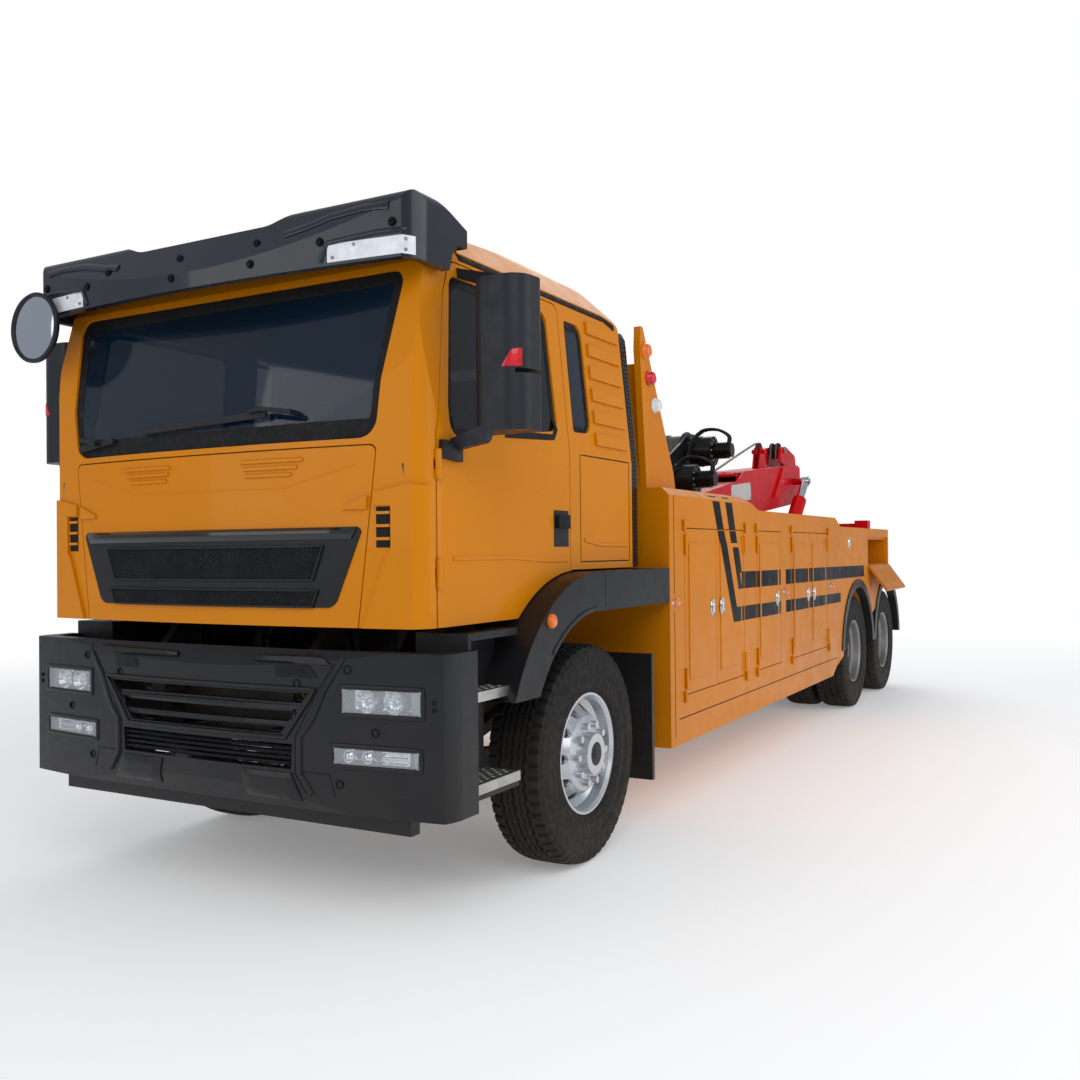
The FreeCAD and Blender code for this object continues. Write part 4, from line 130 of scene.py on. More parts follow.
# the floor is lit near the truck, where its shadow lies, and fades into the white far away
far_white = floor_nodes.new("ShaderNodeEmission")
floor_place = floor_nodes.new("ShaderNodeNewGeometry")
from_truck = floor_nodes.new("ShaderNodeVectorMath")
from_truck.operation = "LENGTH"
fade = floor_nodes.new("ShaderNodeMapRange")
fade.interpolation_type = "SMOOTHSTEP"
FADE_FROM, FADE_TO = 4.5, 12.0
for number, given in enumerate((FADE_FROM, FADE_TO, 0.0, 1.0), 1):
    fade.inputs[number].default_value = given
floor_ray = floor_nodes.new("ShaderNodeLightPath")
seen_fade = floor_nodes.new("ShaderNodeMath")
seen_fade.operation = "MULTIPLY"
floor_choice = floor_nodes.new("ShaderNodeMixShader")
wire(floor_paint.node_tree.links,
     (floor_place.outputs["Position"], from_truck.inputs[0]),
     (from_truck.outputs["Value"], fade.inputs[0]),
     (fade.outputs[0], seen_fade.inputs[0]),
     (floor_ray.outputs["Is Camera Ray"], seen_fade.inputs[1]),
     (seen_fade.outputs[0], floor_choice.inputs[0]),
     (floor_shader.outputs[0], floor_choice.inputs[1]),
     (far_white.outputs[0], floor_choice.inputs[2]),
     (floor_choice.outputs[0], floor_nodes["Material Output"].inputs["Surface"]))
floor_mesh.materials.append(floor_paint)

# ---------------------------------------------------------------- chassis and running gear
# Pressed steel rails bolted to cross-members, forged axles and a cast engine, all sprayed
# in satin black chassis paint that dulls and takes road dust low down.
ROAD_DUST = (118, 104, 88)


def finish(name, colour, rough, metal=0.0, coat=0.0, cloud=(0.10, 0.9), grain=(0.0, 0.004), dust=0.0,
           alpha=1.0, shine=0.22):
    """A surface with its drift of colour, uneven gloss, fine texture and road dust low down.

    The cloud and the grain are each (depth, size).
    """
    cloud_depth, cloud_size = cloud
    grain_depth, grain_size = grain
    made = bpy.data.materials.new(name)
    made.use_nodes = True
    nodes = made.node_tree.nodes
    join = made.node_tree.links.new
    shader = nodes["Principled BSDF"]
    for socket, given in (("Metallic", metal), ("Coat Weight", coat), ("Specular IOR Level", shine),
                          ("Coat Roughness", 0.04), ("Alpha", alpha)):
        shader.inputs[socket].default_value = given
    place = nodes.new("ShaderNodeTexCoord").outputs["Object"]

    def speckle(size, detail):
        cloudy = nodes.new("ShaderNodeTexNoise")
        cloudy.inputs["Scale"].default_value = 1 / size
        cloudy.inputs["Detail"].default_value = detail
        join(place, cloudy.inputs["Vector"])
        return cloudy.outputs["Fac"]

    def spread(value, low, high, start=0.3, end=0.7):
        scaled = nodes.new("ShaderNodeMapRange")
        for number, given in enumerate((start, end, low, high), 1):
            scaled.inputs[number].default_value = given
        join(value, scaled.inputs[0])
        return scaled.outputs[0]

    def blended(share, first, second):
        mixed = nodes.new("ShaderNodeMix")
        mixed.data_type = "RGBA"
        join(share, mixed.inputs[0])
        for socket, given in ((mixed.inputs[6], first), (mixed.inputs[7], second)):
            if isinstance(given, list):
                socket.default_value = given
            else:
                join(given, socket)
        return mixed.outputs[2]

    broad = speckle(cloud_size, 3)
    base = linear(*colour)
    dark = [value * (1 - cloud_depth) for value in base[:3]] + [1.0]
    light = [min(1.0, value * (1 + cloud_depth)) for value in base[:3]] + [1.0]
    tone = blended(spread(broad, 0, 1), dark, light)
    gloss = spread(speckle(cloud_size / 6, 4), max(0.02, rough * 0.8), min(1.0, rough * 1.25 + 0.01))
    if dust:
        height = nodes.new("ShaderNodeSeparateXYZ")
        join(place, height.inputs[0])
        lowness = spread(height.outputs["Z"], dust, 0.0, 0.15, 1.25)
        patches = nodes.new("ShaderNodeMath")
        patches.operation = "MULTIPLY"
        join(lowness, patches.inputs[0])
        join(spread(speckle(0.22, 6), 0.25, 1.0), patches.inputs[1])
        tone = blended(patches.outputs[0], tone, linear(*ROAD_DUST))
    join(tone, shader.inputs["Base Color"])
    join(gloss, shader.inputs["Roughness"])
    if grain_depth:
        bump = nodes.new("ShaderNodeBump")
        bump.inputs["Strength"].default_value = grain_depth
        bump.inputs["Distance"].default_value = grain_size / 4
        join(speckle(grain_size, 2), bump.inputs["Height"])
        join(bump.outputs[0], shader.inputs["Normal"])
    return made


def dress(surface, *nodes):
    """One surface on all the slots of some CAD nodes."""
    for node in nodes:
        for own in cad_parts[node].material_slots:
            own.material = surface


chassis_black = finish("chassis_black", (30, 30, 31), 0.5, cloud=(0.25, 0.9), grain=(0.25, 0.006), dust=0.55)
cast_iron = finish("cast_iron", (44, 43, 42), 0.62, metal=0.35, cloud=(0.3, 0.9), grain=(0.6, 0.005),
                   dust=0.6)
dress(chassis_black, "chassis_rails", "subframe")
dress(cast_iron, "engine", "front_axle", "drive_axles", "knuckle_left", "knuckle_right")

# ---------------------------------------------------------------- tyres
# Radial truck tyres of black rubber: zigzag ribs with lugs on the shoulders, moulded rings
# and a bead line on the sidewall.  The drive axles carry them in pairs.
tyre_rubber = finish("tyre_rubber", (21, 20, 20), 0.70, cloud=(0.22, 0.2), grain=(0.35, 0.0025), dust=0.12)


def piece(name, points, faces, surface, body, smooth=35):
    """A mesh in front-axle metres becomes a named piece that rides on a body."""
    mesh = bpy.data.meshes.new(name)
    mesh.from_pydata([(p[0], p[1] + AXLE, p[2]) for p in points], [], faces)
    mesh.validate()
    shape = bmesh.new()
    shape.from_mesh(mesh)
    bmesh.ops.recalc_face_normals(shape, faces=shape.faces)
    shape.to_mesh(mesh)
    shape.free()
    mesh.shade_smooth()
    mesh.set_sharp_from_angle(angle=math.radians(smooth))
    mesh.materials.append(surface)
    made = bpy.data.objects.new(name, mesh)
    bpy.context.scene.collection.objects.link(made)
    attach(made, body)
    return made


def grid_faces(rows, columns, closed_rows=False, closed_columns=False, start=0):
    """Quads between rows of points, wrapped round where a direction is closed."""
    faces = []
    for r in range(rows if closed_rows else rows - 1):
        for c in range(columns if closed_columns else columns - 1):
            across = (c + 1) % columns
            down = (r + 1) % rows
            faces.append((start + r * columns + c, start + r * columns + across,
                          start + down * columns + across, start + down * columns + c))
    return faces


TREAD_HALF = 0.122
TREAD_DROP = 0.014
CROWN_DROP = 0.010
ZIGZAG = 0.16
LUGS_FROM = 0.64
LUG_SHARE = 0.24
LUG_DROP = 0.008
SHOULDER_RADIUS = 0.505
# centre, half width and share of the full depth of each zigzag groove, across the tread from -1 to 1
GROOVES = ((-0.52, 0.045, 1.0), (0.0, 0.045, 1.0), (0.52, 0.045, 1.0), (-0.26, 0.03, 0.6), (0.26, 0.03, 0.6))
# distance across from the tyre's middle, radius, from the shoulder in to the bead
SIDEWALL = ((0.131, 0.528), (0.139, 0.508), (0.1425, 0.500), (0.1415, 0.497), (0.1475, 0.470),
            (0.1495, 0.440), (0.1495, 0.412), (0.1465, 0.408), (0.1465, 0.404), (0.1470, 0.385),
            (0.1445, 0.352), (0.1460, 0.349), (0.1440, 0.345), (0.1385, 0.324), (0.1395, 0.320),
            (0.1370, 0.316), (0.1230, 0.300), (0.1120, 0.290))


def tread_depth(across, turn, ribs):
    """How far the tread is cut away at one place across (-1 to 1) and one share of a turn."""
    phase = (turn * ribs) % 1.0
    zigzag = abs(phase - 0.5) * ZIGZAG - ZIGZAG / 4
    for groove, half, depth in GROOVES:
        if abs(across - groove - zigzag) < half:
            return TREAD_DROP * depth
    if abs(across) > LUGS_FROM and (phase + (0.5 if across > 0 else 0.0)) % 1.0 < LUG_SHARE:
        return TREAD_DROP * 0.8
    return 0.0


def tyre_points(middle, axle_y, ribs, samples, columns):
    """One tyre's skin as rings of points round its axle."""
    profile = [(-width, radius) for width, radius in reversed(SIDEWALL)]
    profile += [(TREAD_HALF * (2 * k / columns - 1), None) for k in range(columns + 1)]
    profile += list(SIDEWALL)
    points = []
    around = ribs * samples
    for step in range(around):
        turn = step / around
        angle = turn * 2 * math.pi
        lug = (turn * ribs) % 1.0
        for width, radius in profile:
            if radius is None:
                across = width / TREAD_HALF
                radius = TYRE_RADIUS - CROWN_DROP * across ** 4 - tread_depth(across, turn, ribs)
            elif radius > SHOULDER_RADIUS and (lug + (0.5 if width > 0 else 0.0)) % 1.0 < LUG_SHARE:
                radius -= LUG_DROP
            points.append((middle + width, axle_y + radius * math.sin(angle),
                           TYRE_RADIUS + radius * math.cos(angle)))
    return points, around, len(profile)


# ribs round the tyre, steps to a rib, columns across
FRONT_TREAD = (56, 8, 44)
REAR_TREAD = (48, 6, 26)


def tyre_set(node, body, middles, axle_y, ribs, samples, columns):
    """The tyres of one hub, in place of their CAD node."""
    points, faces = [], []
    for middle in middles:
        ring, rows, width = tyre_points(middle, axle_y, ribs, samples, columns)
        faces += grid_faces(rows, width, closed_rows=True, start=len(points))
        points += ring
    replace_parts(piece(node + "_tread", points, faces, tyre_rubber, body), node)


def middle_of(node):
    """The middle of a CAD node, in front-axle metres."""
    low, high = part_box(node)
    return (low + high) / 2 - Vector((0, AXLE, 0))


SIDES = (("left", 1), ("right", -1))
TYRE_HALF = 0.150
for side, sign in SIDES:
    node = f"tyre_front_{side}"
    tyre_set(node, f"wheel_front_{side}", [middle_of(node).x], 0.0, *FRONT_TREAD)
    for number in (1, 2):
        node = f"tyres_rear_{number}_{side}"
        low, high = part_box(node)
        middles = (low.x + TYRE_HALF, high.x - TYRE_HALF)
        tyre_set(node, f"wheels_rear_{number}_{side}", middles, middle_of(node).y, *REAR_TREAD)

# ---------------------------------------------------------------- wheels
# Steel disc wheels held by ten studs and nuts.  The front ones are painted bright silver,
# the drive-axle ones are duller, with deep dished discs and oily hubs.
silver_paint = finish("silver_paint", (196, 200, 205), 0.3, metal=0.75, coat=0.25, cloud=(0.05, 0.15),
                      grain=(0.05, 0.004), dust=0.12)
dull_silver = finish("dull_silver", (142, 143, 144), 0.45, metal=0.6, cloud=(0.12, 0.15), grain=(0.12, 0.004),
                     dust=0.5)
zinc_steel = finish("zinc_steel", (150, 150, 146), 0.3, metal=0.95, cloud=(0.15, 0.05), dust=0.15)
hub_black = finish("hub_black", (34, 34, 36), 0.38, metal=0.4, cloud=(0.2, 0.08), grain=(0.2, 0.004))
for side, sign in SIDES:
    dress(silver_paint, f"rim_front_{side}")
    dress(dull_silver, f"rims_rear_1_{side}", f"rims_rear_2_{side}")


def skin(*nodes):
    """The surface of some CAD nodes, in front-axle metres, to lay trim on."""
    points, faces = [], []
    for node in nodes:
        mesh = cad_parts[node].data
        faces += [tuple(len(points) + v for v in face.vertices) for face in mesh.polygons]
        points += [v.co - Vector((0, AXLE, 0)) for v in mesh.vertices]
    return BVHTree.FromPolygons(points, faces)


VIEWS = {
    "front": ((1, 0, 0), (0, 0, 1), (0, 1, 0)),
    "rear": ((1, 0, 0), (0, 0, 1), (0, -1, 0)),
    "left": ((0, 1, 0), (0, 0, 1), (-1, 0, 0)),
    "right": ((0, 1, 0), (0, 0, 1), (1, 0, 0)),
    "top": ((1, 0, 0), (0, 1, 0), (0, 0, -1)),
}


def touch(tree, view, a, b):
    """Where a straight look from one side first meets the surface, and the surface's normal there."""
    first, second, way = (Vector(v) for v in VIEWS[view])
    spot, normal, _, _ = tree.ray_cast(first * a + second * b - way * 12, way)
    if spot is None:
        raise ValueError(f"nothing to lay trim on at {view} {a:.3f} {b:.3f}")
    return spot, normal if normal.dot(way) < 0 else -normal


def spot_on(tree, view, a, b):
    """The place of a touch, without its normal."""
    return touch(tree, view, a, b)[0]


def circle(steps):
    """The cosine and the sine at even steps round a turn."""
    angles = [2 * math.pi * step / steps for step in range(steps)]
    return [(math.cos(angle), math.sin(angle)) for angle in angles]


def turned_points(profile, centre, steps, axis="x", sign=1):
    """A profile of (distance along the axis, radius) turned about the axis."""
    points = []
    for along, radius in profile:
        for level, upright in circle(steps):
            offset = [radius * level, radius * upright]
            offset.insert("xyz".index(axis), sign * along)
            points.append(Vector(centre) + Vector(offset))
    return points


def capped_faces(count, steps, start=0):
    """The side quads and the two end caps of a bar made of rings of points."""
    faces = grid_faces(count, steps, closed_columns=True, start=start)
    faces.append(tuple(range(start, start + steps)))
    faces.append(tuple(range(start + (count - 1) * steps, start + count * steps)))
    return faces


def turned_set(name, jobs, surface, body, axis="x", smooth=35):
    """Several turned shapes as one piece: each job is (profile, centre, steps, sign)."""
    points, faces = [], []
    for profile, centre, steps, sign in jobs:
        faces += capped_faces(len(profile), steps, len(points))
        points += turned_points(profile, centre, steps, axis, sign)
    return piece(name, points, faces, surface, body, smooth)


STUD_RING = 0.1675
NUT = ((-0.030, 0.0235), (-0.027, 0.0245), (-0.026, 0.0215), (-0.008, 0.0215), (-0.004, 0.018),
       (-0.004, 0.009))
HUB_CAP = ((-0.050, 0.088), (-0.044, 0.092), (-0.012, 0.086), (-0.002, 0.074), (0.001, 0.050), (0.001, 0.030),
           (0.004, 0.026), (0.004, 0.002))
for side, sign in SIDES:
    for rims, wheels in (("rim_front", "wheel_front"), ("rims_rear_1", "wheels_rear_1"),
                         ("rims_rear_2", "wheels_rear_2")):
        node, body = f"{rims}_{side}", f"{wheels}_{side}"
        tree = skin(node)
        centre = middle_of(node)
        nuts = []
        for level, upright in circle(10):
            spot = spot_on(tree, side, centre.y + STUD_RING * level, centre.z + STUD_RING * upright)
            nuts.append((NUT, spot, 6, sign))
        turned_set(f"{node}_nuts", nuts, zinc_steel, body, smooth=20)
        spot = spot_on(tree, side, centre.y, centre.z)
        turned_set(f"{node}_hub_cap", [(HUB_CAP, spot, 40, sign)], hub_black, body)

# ---------------------------------------------------------------- cab shell
# Pressed steel panels, spot-welded, primed and sprayed in warm yellow two-pack paint.  The sides
# carry a hatch outline and a gutter; seams between panels show as fine dark lines.
CAB_YELLOW = (202, 122, 4)
cab_paint = finish("cab_paint", CAB_YELLOW, 0.32, coat=0.10, shine=0.12, cloud=(0.035, 1.1),
                   grain=(0.02, 0.0012), dust=0.05)
seam_black = finish("seam_black", (14, 12, 10), 0.8, cloud=(0.2, 0.1))
black_moulding = finish("black_moulding", (30, 31, 34), 0.46, cloud=(0.1, 0.4), grain=(0.5, 0.0016),
                        dust=0.16)
black_rubber = finish("black_rubber", (20, 20, 21), 0.66, cloud=(0.15, 0.2), grain=(0.3, 0.002))
dress(cab_paint, "cab_shell", "cab_door_left", "cab_door_right", "front_flap")


def strip(name, tree, jobs, surface, body, closed=False, smooth=50):
    """Rounded strips laid along paths on a surface: each job is (view, path, width, rise, step)."""
    points, faces = [], []
    for view, path, width, rise, step in jobs:
        spots = []
        ends = list(zip(path, path[1:] + (path[:1] if closed else [])))
        for start, end in ends[:len(path) if closed else len(path) - 1]:
            count = max(1, round(math.dist(start, end) / step))
            spots += [[start[i] + (end[i] - start[i]) * k / count for i in (0, 1)] for k in range(count)]
        if not closed:
            spots.append(path[-1])
        laid = [touch(tree, view, *spot) for spot in spots]
        count = len(laid)
        start = len(points)
        for k, (spot, normal) in enumerate(laid):
            after = laid[(k + 1) % count if closed else min(k + 1, count - 1)][0]
            before = laid[k - 1 if closed or k else 0][0]
            across = (after - before).cross(normal).normalized()
            up = normal.normalized()
            for share, height in ((-0.5, -0.6), (-0.5, 0.55), (-0.34, 1.0), (0.34, 1.0), (0.5, 0.55),
                                  (0.5, -0.6)):
                points.append(spot + across * width * share + up * rise * height)
        faces += grid_faces(count, 6, True, True, start) if closed else capped_faces(count, 6, start)
    return piece(name, points, faces, surface, body, smooth)


def ribbon(name, tree, jobs, surface, body, smooth=40):
    """Raised bands that follow a surface: each job is (view, rows of two ends, steps, rise, sink, bevel)."""
    points, faces = [], []
    for view, rows, across, rise, sink, bevel in jobs:
        start = len(points)
        laid = []
        for j, (low, high) in enumerate(rows):
            for i in range(across + 1):
                u = i / across
                spot, normal = touch(tree, view, *(low[k] + (high[k] - low[k]) * u for k in (0, 1)))
                edge = i in (0, across) or j in (0, len(rows) - 1)
                laid.append((spot, normal.normalized(), rise - bevel if edge else rise))
        points += [spot + normal * height for spot, normal, height in laid]
        points += [spot - normal * sink for spot, normal, height in laid]
        wide = across + 1
        size = wide * len(rows)
        faces += grid_faces(len(rows), wide, start=start)
        faces += [face[::-1] for face in grid_faces(len(rows), wide, start=start + size)]
        rim = list(range(wide)) + [(j + 1) * wide - 1 for j in range(1, len(rows))]
        rim += [size - 2 - i for i in range(across)] + [j * wide for j in range(len(rows) - 2, 0, -1)]
        for a, b in zip(rim, rim[1:] + rim[:1]):
            faces.append((start + a, start + b, start + size + b, start + size + a))
    return piece(name, points, faces, surface, body, smooth)


def between(first, last, share):
    """A point a share of the way from one point to another."""
    return tuple(first[k] + (last[k] - first[k]) * share for k in (0, 1))


def patch(name, tree, jobs, surface, body, smooth=40):
    """Four-cornered ribbons: each job is (view, corners, (steps across, steps up), rise, sink, bevel)."""
    ribbons = []
    for view, corners, (across, up), rise, sink, bevel in jobs:
        rows = [(between(corners[0], corners[3], j / up), between(corners[1], corners[2], j / up))
                for j in range(up + 1)]
        ribbons.append((view, rows, across, rise, sink, bevel))
    return ribbon(name, tree, ribbons, surface, body, smooth)


cab_skin = skin("cab_shell")
flap_skin = skin("front_flap", "grille")
CAB_STRIPS = (
    # name, path of (y, z), width, rise, step, surface, slot, closed
    ("gutter", [(-0.93, 2.826), (0.50, 2.826), (0.62, 2.800)], 0.018, 0.010, 0.08, cab_paint, "cab_paint",
     False),
    ("gutter_channel", [(-0.93, 2.806), (0.50, 2.806), (0.62, 2.780)], 0.036, 0.006, 0.08, black_rubber,
     "black_moulding", False),
    ("hatch_seam", [(0.06, 1.49), (0.06, 2.03), (0.66, 2.03), (0.66, 1.49)], 0.006, 0.0012, 0.06, seam_black,
     "cab_paint", True),
    ("hatch_crease", [(0.10, 1.60), (0.30, 1.575), (0.62, 1.575)], 0.020, 0.006, 0.05, cab_paint, "cab_paint",
     False),
)
for side, sign in SIDES:
    for name, path, width, rise, step, surface, slot, closed in CAB_STRIPS:
        strip(f"{name}_{side}", cab_skin, [(side, path, width, rise, step)], surface, "cab", closed)

# ---------------------------------------------------------------- windows
# Curved tinted safety glass, bonded in with a black ceramic border; black rubber runs round it.
tinted_glass = finish("tinted_glass", (10, 34, 52), 0.03, coat=0.5, cloud=(0.05, 1.0), alpha=0.62)
door_tint = finish("door_tint", (14, 20, 26), 0.03, coat=0.3, cloud=(0.05, 1.0), alpha=0.74)
dress(tinted_glass, "cab_glass")
dress(door_tint, "door_glass_left", "door_glass_right")
glass_skin = skin("cab_glass", "cab_shell")
screen_edge = [(-0.865, 2.05), (-0.895, 2.10), (-0.950, 2.62), (-0.935, 2.672), (0.935, 2.672), (0.950, 2.62),
               (0.895, 2.10), (0.865, 2.05)]
strip("screen_border", glass_skin, [("front", screen_edge, 0.055, 0.0025, 0.05)], black_rubber, "cab",
      closed=True)
strip("screen_foot", glass_skin, [("front", [(-0.85, 2.045), (0.85, 2.045)], 0.09, 0.003, 0.05)],
      black_rubber, "cab")
for side, sign in SIDES:
    pane = skin(f"door_glass_{side}", f"cab_door_{side}")
    low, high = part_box(f"door_glass_{side}")
    first, last = low.y - AXLE, high.y - AXLE
    edge = [(first + 0.020, low.z + 0.10), (first + 0.100, high.z - 0.065), (first + 0.150, high.z - 0.025),
            (last - 0.06, high.z - 0.025), (last - 0.028, high.z - 0.06), (last - 0.014, low.z + 0.12),
            (last - 0.05, low.z + 0.075), (first + 0.05, low.z + 0.022)]
    strip(f"door_seal_{side}", pane, [(side, edge, 0.030, 0.004, 0.05)], black_rubber, f"cab_door_{side}",
          closed=True)
    quarter = [(0.030, 2.17), (0.030, 2.68), (0.175, 2.68), (0.195, 2.64), (0.205, 2.20), (0.17, 2.16)]
    strip(f"quarter_seal_{side}", glass_skin, [(side, quarter, 0.024, 0.004, 0.05)], black_rubber, "cab",
          closed=True)

# ---------------------------------------------------------------- front flap and grille
# The flap is a painted pressing with two groups of pressed ribs; a satin black moulded grille
# with woven wire mesh and a gloss trim bar along its top is screwed into it.
gloss_black = finish("gloss_black", (16, 15, 16), 0.12, coat=0.7, cloud=(0.12, 0.5))
grille_black = finish("grille_black", (26, 27, 30), 0.34, cloud=(0.08, 0.5), grain=(0.15, 0.002))
wire_grey = finish("wire_grey", (92, 94, 98), 0.42, metal=0.6, cloud=(0.2, 0.1))
dress(grille_black, "grille")
# the mesh fields are a near-black plate laid on the grille's flat face: painted shade that makes the fields
# look set in behind the wire mesh
grille_shade_plate = finish("grille_shade_plate", (13, 13, 14), 0.7, cloud=(0.2, 0.05), grain=(0.6, 0.006))
hood_ribs = []
for sign in (-1, 1):
    for k in range(3):
        z = 1.936 - 0.030 * k
        inner, outer = 0.215 + 0.012 * k, 0.545 - 0.030 * k
        hood_ribs.append(("front", [(sign * inner, z), (sign * outer, z)], 0.017, 0.008, 0.04))
strip("hood_ribs", flap_skin, hood_ribs, cab_paint, "front_flap")
FLAP_CREASE = [(-0.80, 1.905), (-0.45, 1.822), (0.45, 1.822), (0.80, 1.905)]
strip("flap_crease", flap_skin, [("front", FLAP_CREASE, 0.008, 0.002, 0.05)], cab_paint, "front_flap")
GLOSS_BAR = ((-0.785, 1.602), (0.785, 1.602), (0.815, 1.652), (-0.815, 1.652))
patch("gloss_bar", flap_skin, [("front", GLOSS_BAR, (24, 4), 0.014, 0.004, 0.008)], gloss_black, "front_flap")
BOW_RADIUS = 8.1
GRILLE_FACE = -1.3746
MESH_FRONT = GRILLE_FACE - 0.0030
MESH_FIELDS = (
    # low, high, half width at the low edge and at the high edge
    (1.432, 1.578, 0.600, 0.655),
    (1.322, 1.396, 0.598, 0.628),
)
field_points, field_faces = [], []
mesh_points, mesh_faces = [], []
FIELD_COLUMNS = 24
WIRE_SLOPE = 0.62
WIRE_PITCH = 0.0150


def bowed(x):
    """How far the bowed front falls back at a distance from the middle."""
    return x * x / (2 * BOW_RADIUS)


for low, high, low_half, high_half in MESH_FIELDS:
    start = len(field_points)
    for half, z in ((low_half, low), (high_half, high)):
        for k in range(FIELD_COLUMNS + 1):
            x = half * (2 * k / FIELD_COLUMNS - 1)
            field_points.append(Vector((x, GRILLE_FACE + bowed(x), z)))
    field_faces += grid_faces(2, FIELD_COLUMNS + 1, start=start)
    for lean in (-1, 1):
        reach = high_half + (high - low) / WIRE_SLOPE
        x = -reach
        while x < reach:
            ends = [(x + lean * (z - (low + high) / 2) / WIRE_SLOPE, z) for z in (low, high)]
            clipped = []
            for share in range(17):
                u, z = between(ends[0], ends[1], share / 16)
                half = low_half + (high_half - low_half) * (z - low) / (high - low)
                if abs(u) < half:
                    clipped.append((u, z))
            if len(clipped) > 1:
                start = len(mesh_points)
                for u, z in (clipped[0], clipped[-1]):
                    y = MESH_FRONT + bowed(u)
                    for du, dy in ((-0.0013, 0), (0, -0.0016), (0.0013, 0), (0, 0.0016)):
                        mesh_points.append((u + du, y + dy + 0.0010 * lean, z))
                mesh_faces += grid_faces(2, 4, closed_columns=True, start=start)
            x += WIRE_PITCH
# the near-black plate under the wires is painted shade of the recess behind the mesh
piece("grille_fields", field_points, field_faces, grille_shade_plate, "front_flap")
field_tree = BVHTree.FromPolygons(field_points, field_faces)
frames = []
for low, high, low_half, high_half in MESH_FIELDS:
    loop = [(low_half - 0.004, low + 0.003), (high_half - 0.006, high - 0.003), (0.0, high - 0.003),
            (0.006 - high_half, high - 0.003), (0.004 - low_half, low + 0.003), (0.0, low + 0.003)]
    frames.append(("front", loop, 0.012, 0.009, 0.06))
strip("grille_frames", field_tree, frames, grille_black, "front_flap", closed=True)
piece("grille_mesh", mesh_points, mesh_faces, wire_grey, "front_flap")

# ---------------------------------------------------------------- sun visor and its lamps
# A deep one-piece moulding bolted across the top of the screen, black with a soft gloss, and a
# frosted marker lamp set into each lower corner.
visor_black = finish("visor_black", (30, 33, 42), 0.22, coat=0.35, cloud=(0.06, 0.6), grain=(0.06, 0.003))
frosted_lens = finish("frosted_lens", (214, 218, 222), 0.32, coat=0.4, cloud=(0.12, 0.04), grain=(0.7, 0.009))
bolt_black = finish("bolt_black", (19, 19, 20), 0.34, metal=0.6, cloud=(0.15, 0.02))
dress(visor_black, "sun_visor")
dress(frosted_lens, "cab_lamps")
visor_skin = skin("sun_visor", "cab_lamps")
BOLT_HEAD = ((-0.002, 0.019), (0.003, 0.019), (0.003, 0.015), (0.009, 0.0135), (0.0105, 0.010),
             (0.0105, 0.005), (0.006, 0.005), (0.006, 0.001))
VISOR_BOLTS = ((1.035, 2.840), (0.358, 2.845), (0.345, 2.755), (-0.095, 2.845), (-0.115, 2.755),
               (-0.560, 2.845), (-1.035, 2.840), (0.700, 2.800), (-0.700, 2.800))
bolts = []
for x, z in VISOR_BOLTS:
    bolts.append((BOLT_HEAD, spot_on(visor_skin, "front", x, z), 18, -1))
turned_set("visor_bolts", bolts, bolt_black, "cab", axis="y", smooth=30)


def both(shape, sign):
    """A list of (x, z) corners for one side of the truck."""
    return [(sign * x, z) for x, z in shape]


HUMP = ((0.50, 2.862), (0.62, 2.878), (0.74, 2.905), (0.90, 2.915), (1.02, 2.905))
BROW = ((0.700, 2.716), (0.735, 2.790), (0.95, 2.806), (1.085, 2.806))
LAMP_SCREW = [(along * 0.55, radius * 0.4) for along, radius in BOLT_HEAD]
for side, sign in SIDES:
    for name, path, *section in (("visor_hump", HUMP, 0.035, 0.007, 0.04),
                                 ("lamp_brow", BROW, 0.020, 0.008, 0.03)):
        strip(f"{name}_{side}", visor_skin, [("front", both(path, sign), *section)], visor_black, "cab")
    for number, (x, z) in enumerate(((0.760, 2.730), (1.085, 2.728), (1.085, 2.770), (0.860, 2.772))):
        spot = spot_on(visor_skin, "front", sign * x, z)
        turned_set(f"lamp_screw_{side}_{number}", [(LAMP_SCREW, spot, 10, -1)], zinc_steel, "cab",
                   "y", 30)

# ---------------------------------------------------------------- front corners, wipers and door trim
# Each corner panel's cap runs on across the flap; the wipers turn on bosses below the screen.
# Each door has a black block at the belt, a dished handle plate with a rubber grip, and a low crease.


def rectangle(left, right, low, high):
    """Four corners, from the low left one on."""
    return (left, low), (right, low), (right, high), (left, high)


FLAP_CAP = ((0.745, 1.722), (0.858, 1.722), (0.862, 1.778), (0.752, 1.738))
FIN_HEIGHTS = (1.596, 1.648, 1.700)
for side, sign in SIDES:
    patch(f"flap_cap_{side}", flap_skin, [("front", both(FLAP_CAP, sign), (4, 2), 0.018, 0.004, 0.006)],
          cab_paint, "front_flap")
    # the black rubber patch at the back of each corner slot, between its painted fins, is painted shade
    # inside the open vent
    slot = both(rectangle(0.898, 0.966, 1.566, 1.730), sign)
    patch(f"corner_slot_shade_{side}", cab_skin, [("front", slot, (3, 6), 0.002, 0.004, 0.001)], black_rubber,
          "cab")
    fins = [("front", both(rectangle(0.900, 0.964, z, z + 0.012), sign), (3, 1), 0.013, 0.002, 0.003)
            for z in FIN_HEIGHTS]
    patch(f"corner_fins_{side}", cab_skin, fins, cab_paint, "cab")

wiper_points, wiper_faces = [], []


def swept(path, across, up, points, faces):
    """A rectangular bar along a path of points, half widths given across (level) and up."""
    start = len(points)
    for k, spot in enumerate(path):
        along = Vector(path[min(k + 1, len(path) - 1)]) - Vector(path[max(k - 1, 0)])
        level = along.cross(Vector((0, 0, 1))).normalized()
        upward = level.cross(along).normalized()
        for a, b in ((-1, -1), (-1, 1), (1, 1), (1, -1)):
            points.append(Vector(spot) + level * across * a + upward * up * b)
    faces += capped_faces(len(path), 4, start)


def on_screen(x, z, out):
    """A place a given distance off the windscreen."""
    spot, normal = touch(glass_skin, "front", x, z)
    return spot + normal.normalized() * out


